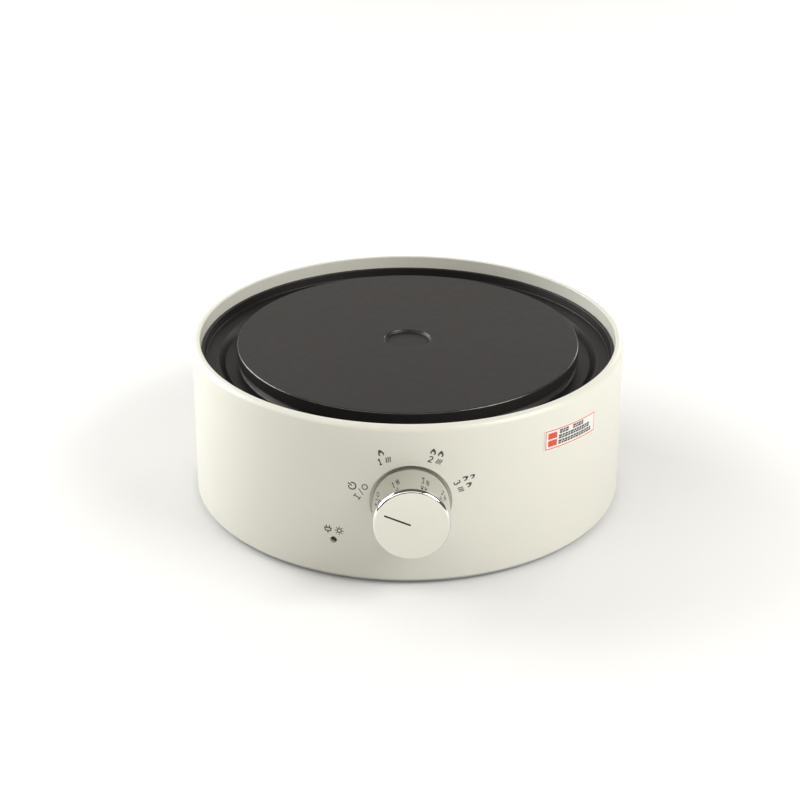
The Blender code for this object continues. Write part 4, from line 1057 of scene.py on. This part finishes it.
label_base = label_print("label_sheet", 0.0, 0.22 * MM)
label_base.stroke([(-LABEL_HALF, 0), (LABEL_HALF, 0)], 2 * LABEL_TALL)
add_piece("label_sheet", label_base.mesh(), label_paper, ["side_label"])

border = label_print("label_border", *LABEL_INK)
across, tall = LABEL_HALF - BORDER_INSET, LABEL_TALL - BORDER_INSET
border.stroke([(-across, -tall), (across, -tall), (across, tall), (-across, tall)], 0.62, True)
add_piece("label_border", border.mesh(), label_border)

blocks = label_print("label_blocks", *LABEL_INK)
for y in (2.05, -2.05):
    blocks.stroke([(-17.35, y), (-11.45, y)], 3.3)
add_piece("label_blocks", blocks.mesh(), label_red)

# Each row is two lines of dashes, whose lengths repeat, the upper line two dashes ahead.
rules = label_print("label_rules", *LABEL_INK)
for y, start, end in DASH_ROWS:
    for line, count in ((y - 0.6, 0), (y + 0.6, 2)):
        x = start
        while x < end - 1:
            length = min(DASHES[count % 4], end - x)
            rules.stroke([(x, line), (x + length, line)], 0.98)
            x, count = x + length + DASH_GAP, count + 1
add_piece("label_rules", rules.mesh(), print_ink)


# ---------------------------------------------------------------- base, feet and screws


def make_cover():
    """The base sheet, with its vents and the holes for the feet and the screws."""
    floor, top, lip = 2.0, 3.1, 9.0
    groove = [(96, floor, 0.6), (97, 2.3, 0.6), (99, 2.3, 0.6), (100, floor, 0.6)]
    edge = [(114.6, floor, 0.5), (114.6, top, 0.2), (111.8, top, 0)]
    edge += [(111.8, lip, 0.2), (110.2, lip, 0.2), (110.2, top, 0)]
    profile = rounded(in_mm([(0, floor, 0), *groove, *edge, (0, top, 0)]))
    tools = []
    for i in range(12):
        slot = prism("vent", slot_outline(41.5 * MM, 60.5 * MM, 1.5 * MM, 8), 0, 6 * MM)
        tools.append(moved(slot, turn=math.radians(30 * i + 0.01)))
    for corner in CORNERS:
        for radius, circle in ((3.4 * MM, FOOT_CIRCLE), (1.7 * MM, SCREW_CIRCLE)):
            rod = lathe("rod", [(0, 0), (radius, 0), (radius, 6 * MM), (0, 6 * MM)], 32)
            tools.append(moved(rod, *polar(circle, corner)))
    return carved(lathe("base_sheet", profile, 256), joined("cover_tools", tools))


def make_foot():
    """A rubber foot whose stem and barb go through the cover."""
    sole = [(0, 0.25, 0), (4.2, 0.25, 0.2), (4.6, 0, 0.2), (8.0, 0, 0.6), (8.0, 1.7, 0.25)]
    stem = [(3.0, 1.7, 0), (3.0, 3.4, 0), (3.9, 3.4, 0.1), (3.0, 4.7, 0.2), (0, 4.7, 0)]
    return lathe("foot", rounded(in_mm(sole + stem)), 56)


def cross_tool(depth_low, depth_high, reach, half_width):
    """Two crossed tapering blades, for a cross recess."""
    blades = []
    for turn in (0, 90):
        levels = []
        for z, x in ((depth_low, 0.45 * reach), (depth_high, reach)):
            y = half_width
            levels.append([(-x, -y, z), (x, -y, z), (x, y, z), (-x, y, z)])
        blades.append(moved(stack("blade", levels), turn=math.radians(turn + 0.5)))
    return carved(*blades, "UNION")


def make_base_screw():
    """It points up, so its cross recess is cut from below."""
    head = [(0, 0.3, 0), (2.6, 0.3, 0.5), (3.6, 0.9, 0.5), (3.6, 1.7, 0.15)]
    shank = [(1.35, 1.7, 0), (1.35, 16, 0), (0, 17, 0)]
    screw = lathe("base_screw", rounded(in_mm(head + shank)), 48)
    return carved(screw, cross_tool(1.2 * MM, 0.1 * MM, 1.9 * MM, 0.38 * MM))


def make_inlet_screw():
    front = INLET_FRONT
    head = [(0, 0.9, 0), (1.8, 0.8, 0.8), (2.7, 0.4, 0.15), (1.4, -0.6, 0)]
    profile = [(x * MM, front + rise * MM, bend * MM) for x, rise, bend in head]
    profile += in_mm([(1.4, 104.5, 0), (0, 104, 0)])
    tool = cross_tool(front - 0.3 * MM, front + 1.4 * MM, 1.7 * MM, 0.36 * MM)
    return carved(lathe("inlet_screw", rounded(profile), 48), tool)


add_piece(
    "base_sheet", make_cover(), plated_steel, ["base_cover"], place=axis_frame()
)
foot_mesh = make_foot()
screw_mesh = make_base_screw()
for number, corner in enumerate(CORNERS, 1):
    add_piece(
        f"rubber_foot_{number}", foot_mesh.copy(), foot_rubber, [f"foot_{number}"],
        place=axis_frame(*polar(FOOT_CIRCLE, corner)),
    )
    add_piece(
        f"cover_screw_{number}", screw_mesh.copy(), bright_steel,
        [f"base_screw_{number}"],
        place=axis_frame(*polar(SCREW_CIRCLE, corner)) @ spun(17 * number),
    )


# ---------------------------------------------------------------- power inlet


def make_inlet():
    """A flange and a body, with the socket's cavity and two countersunk holes."""
    rear, front = INLET_REAR, INLET_FRONT
    flange = box_stack("inlet_shell", 25 * MM, 11.3 * MM, 3 * MM, rear, front, 0.5 * MM)
    body = box_stack("inlet_body", 13.6 * MM, 9.9 * MM, 0.8 * MM, 90 * MM, rear + MM, 0.1 * MM)
    shell = carved(flange, body, "UNION")
    x, y, cut = 12.2 * MM, 8.3 * MM, 4.5 * MM
    corners = [(-x, -y), (x, -y), (x, y - cut), (x - cut, y), (cut - x, y), (-x, y - cut)]
    outline = rounded([(*corner, 0.8 * MM) for corner in corners], closed=True)
    levels = []
    for scale, rise in ((1.0, -16.5), (1.0, -0.35), (1.03, 0), (1.05, 2)):
        levels.append([(x * scale, y * scale, front + rise * MM) for x, y in outline])
    shell = carved(shell, stack("cavity", levels))
    hole = in_mm([(0, 106), (1.8, 106)])
    hole += [(1.8 * MM, front - 1.1 * MM), (4.6 * MM, front + 2 * MM), (0, front + 2 * MM)]
    holes = [moved(lathe("hole", hole, 40), side) for side in INLET_SCREWS]
    return carved(shell, joined("inlet_holes", holes))


inlet_place = outward_frame(180, INLET_HEIGHT)
add_piece(
    "inlet_shell", make_inlet(), inlet_black, ["power_inlet"], place=inlet_place
)
inlet_screw_mesh = make_inlet_screw()
for number, side in enumerate(INLET_SCREWS, 1):
    add_piece(
        f"flange_screw_{number}", inlet_screw_mesh.copy(), bright_steel,
        [f"inlet_screw_{number}"],
        place=inlet_place @ Matrix.Translation((side, 0, 0)) @ spun(25 * number),
    )
for name in ("live", "neutral", "earth"):
    node = f"inlet_pin_{name}"
    low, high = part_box(node)
    middle = (low + high) / 2
    halves = ((high.x - low.x) / 2, (high.z - low.z) / 2)
    ends = (low.y - AXIS_Y, high.y - AXIS_Y)
    pin = box_stack(f"pin_{name}", *halves, 0.3 * MM, *ends, 0.28 * MM)
    place = outward_frame(180, middle.z) @ Matrix.Translation((-middle.x, 0, 0))
    add_piece(f"pin_{name}", pin, pin_brass, [node], place=place)


# ---------------------------------------------------------------- CAD nodes that stay

SLOT_OF = {part["node"]: part["material_slot"] for part in frame["record"]["subparts"]}
for name, obj in frame["nodes"].items():
    if obj.hide_render:  # a piece above replaces it
        continue
    obj.data.materials.clear()
    obj.data.materials.append(HIDDEN_FINISHES[SLOT_OF[name]])


# ---------------------------------------------------------------- stage, camera and light


def add_stage():
    """A pale floor that glows a little away from the object, so that it fades to white."""
    floor = lathe("floor", [(0, 0), (1.0, 0), (9.0, 0)], 96)
    material = surface(
        "floor_white", ((0.62, 0.62, 0.615), (0.64, 0.64, 0.635)), (0.6, 0.7),
        [(300, 1e-5)], scales=(2, 30), Emission_Color=(1, 0.985, 0.94, 1),
    )
    tree = material.node_tree
    reach = add_node(tree, "ShaderNodeVectorMath", operation="LENGTH")
    link(tree, coordinates(tree), reach.inputs[0])
    glow = add_node(tree, "ShaderNodeMapRange")
    glow.inputs["From Min"].default_value = 0.05
    glow.inputs["From Max"].default_value = 0.34
    glow.inputs["To Max"].default_value = 0.42
    link(tree, reach.outputs["Value"], glow.inputs["Value"])
    link(tree, glow.outputs["Result"], tree.nodes["Principled BSDF"].inputs["Emission Strength"])
    floor.materials.append(material)
    new_object("floor", floor)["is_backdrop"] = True


def add_camera():
    """It faces the rim's middle, then is turned a little down, left and round, as framed."""
    elevation, distance = math.radians(23.59), 1.0
    aim_below, aim_left, roll = math.radians(2.098), math.radians(0.2274), math.radians(0.23)
    target = Vector((0, AXIS_Y, RIM_HEIGHT))
    forward = Vector((0, math.cos(elevation), -math.sin(elevation)))
    right = Vector((1, 0, 0))
    up = right.cross(forward)
    location = target - forward * distance
    turn = Matrix.Rotation(aim_left, 3, up)
    forward, right = turn @ forward, turn @ right
    tilt = Matrix.Rotation(-aim_below, 3, right)
    forward, up = tilt @ forward, tilt @ up
    spin = Matrix.Rotation(-roll, 3, forward)
    right, up = spin @ right, spin @ up
    data = bpy.data.cameras.new("camera")
    data.lens = 83.9
    data.sensor_width = 36
    data.clip_start = 0.01
    aimed = Matrix.Translation(location) @ Matrix((right, up, -forward)).transposed().to_4x4()
    swing = axis_frame() @ spun(-CAMERA_TURN) @ axis_frame().inverted()
    camera = new_object("camera", data)
    camera.matrix_world = swing @ aimed
    bpy.context.scene.camera = camera


def add_light(name, azimuth, elevation, distance, size, power, colour=(1, 1, 1)):
    """A softbox that faces the object. Azimuth 0 is in front of the knob, 90 at its right."""
    data = bpy.data.lights.new(name, "AREA")
    data.shape = "RECTANGLE"
    data.size, data.size_y = size
    data.energy = power
    data.color = colour
    across, rise = math.radians(azimuth), math.radians(elevation)
    flat = math.cos(rise)
    out = Vector((flat * math.sin(across), -flat * math.cos(across), math.sin(rise)))
    light = new_object(name, data)
    light.location = Vector((0, AXIS_Y, 50 * MM)) + distance * out
    light.rotation_mode = "QUATERNION"
    light.rotation_quaternion = (-out).to_track_quat("-Z", "Y")


def add_world(colour, strength):
    world = bpy.data.worlds.new("world")
    world.use_nodes = True
    background = world.node_tree.nodes["Background"]
    background.inputs["Color"].default_value = (*colour, 1)
    background.inputs["Strength"].default_value = strength
    bpy.context.scene.world = world


add_stage()
add_camera()
add_world((1.0, 0.96, 0.88), 0.14)
add_light("backdrop_light", 180, 20, 1.6, (3.2, 1.0), 6.2, (1.0, 0.95, 0.92))
add_light("left_softbox", -114, 23, 1.3, (1.0, 0.8), 19.5, (0.985, 0.995, 1.0))
add_light("left_front_fill", -56, 42, 1.3, (0.7, 0.6), 2.6, (1.0, 0.99, 0.95))
add_light("right_softbox", 62, 38, 1.3, (0.8, 0.7), 14.8, (1.0, 0.995, 0.98))
add_light("rear_right_strip", 145, 14, 1.3, (0.2, 0.6), 2.0)
add_light("front_fill", -8, 54, 1.3, (1.2, 0.5), 3.2, (1.0, 0.98, 0.92))
bpy.context.scene.view_settings.view_transform = "Standard"

low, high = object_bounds()
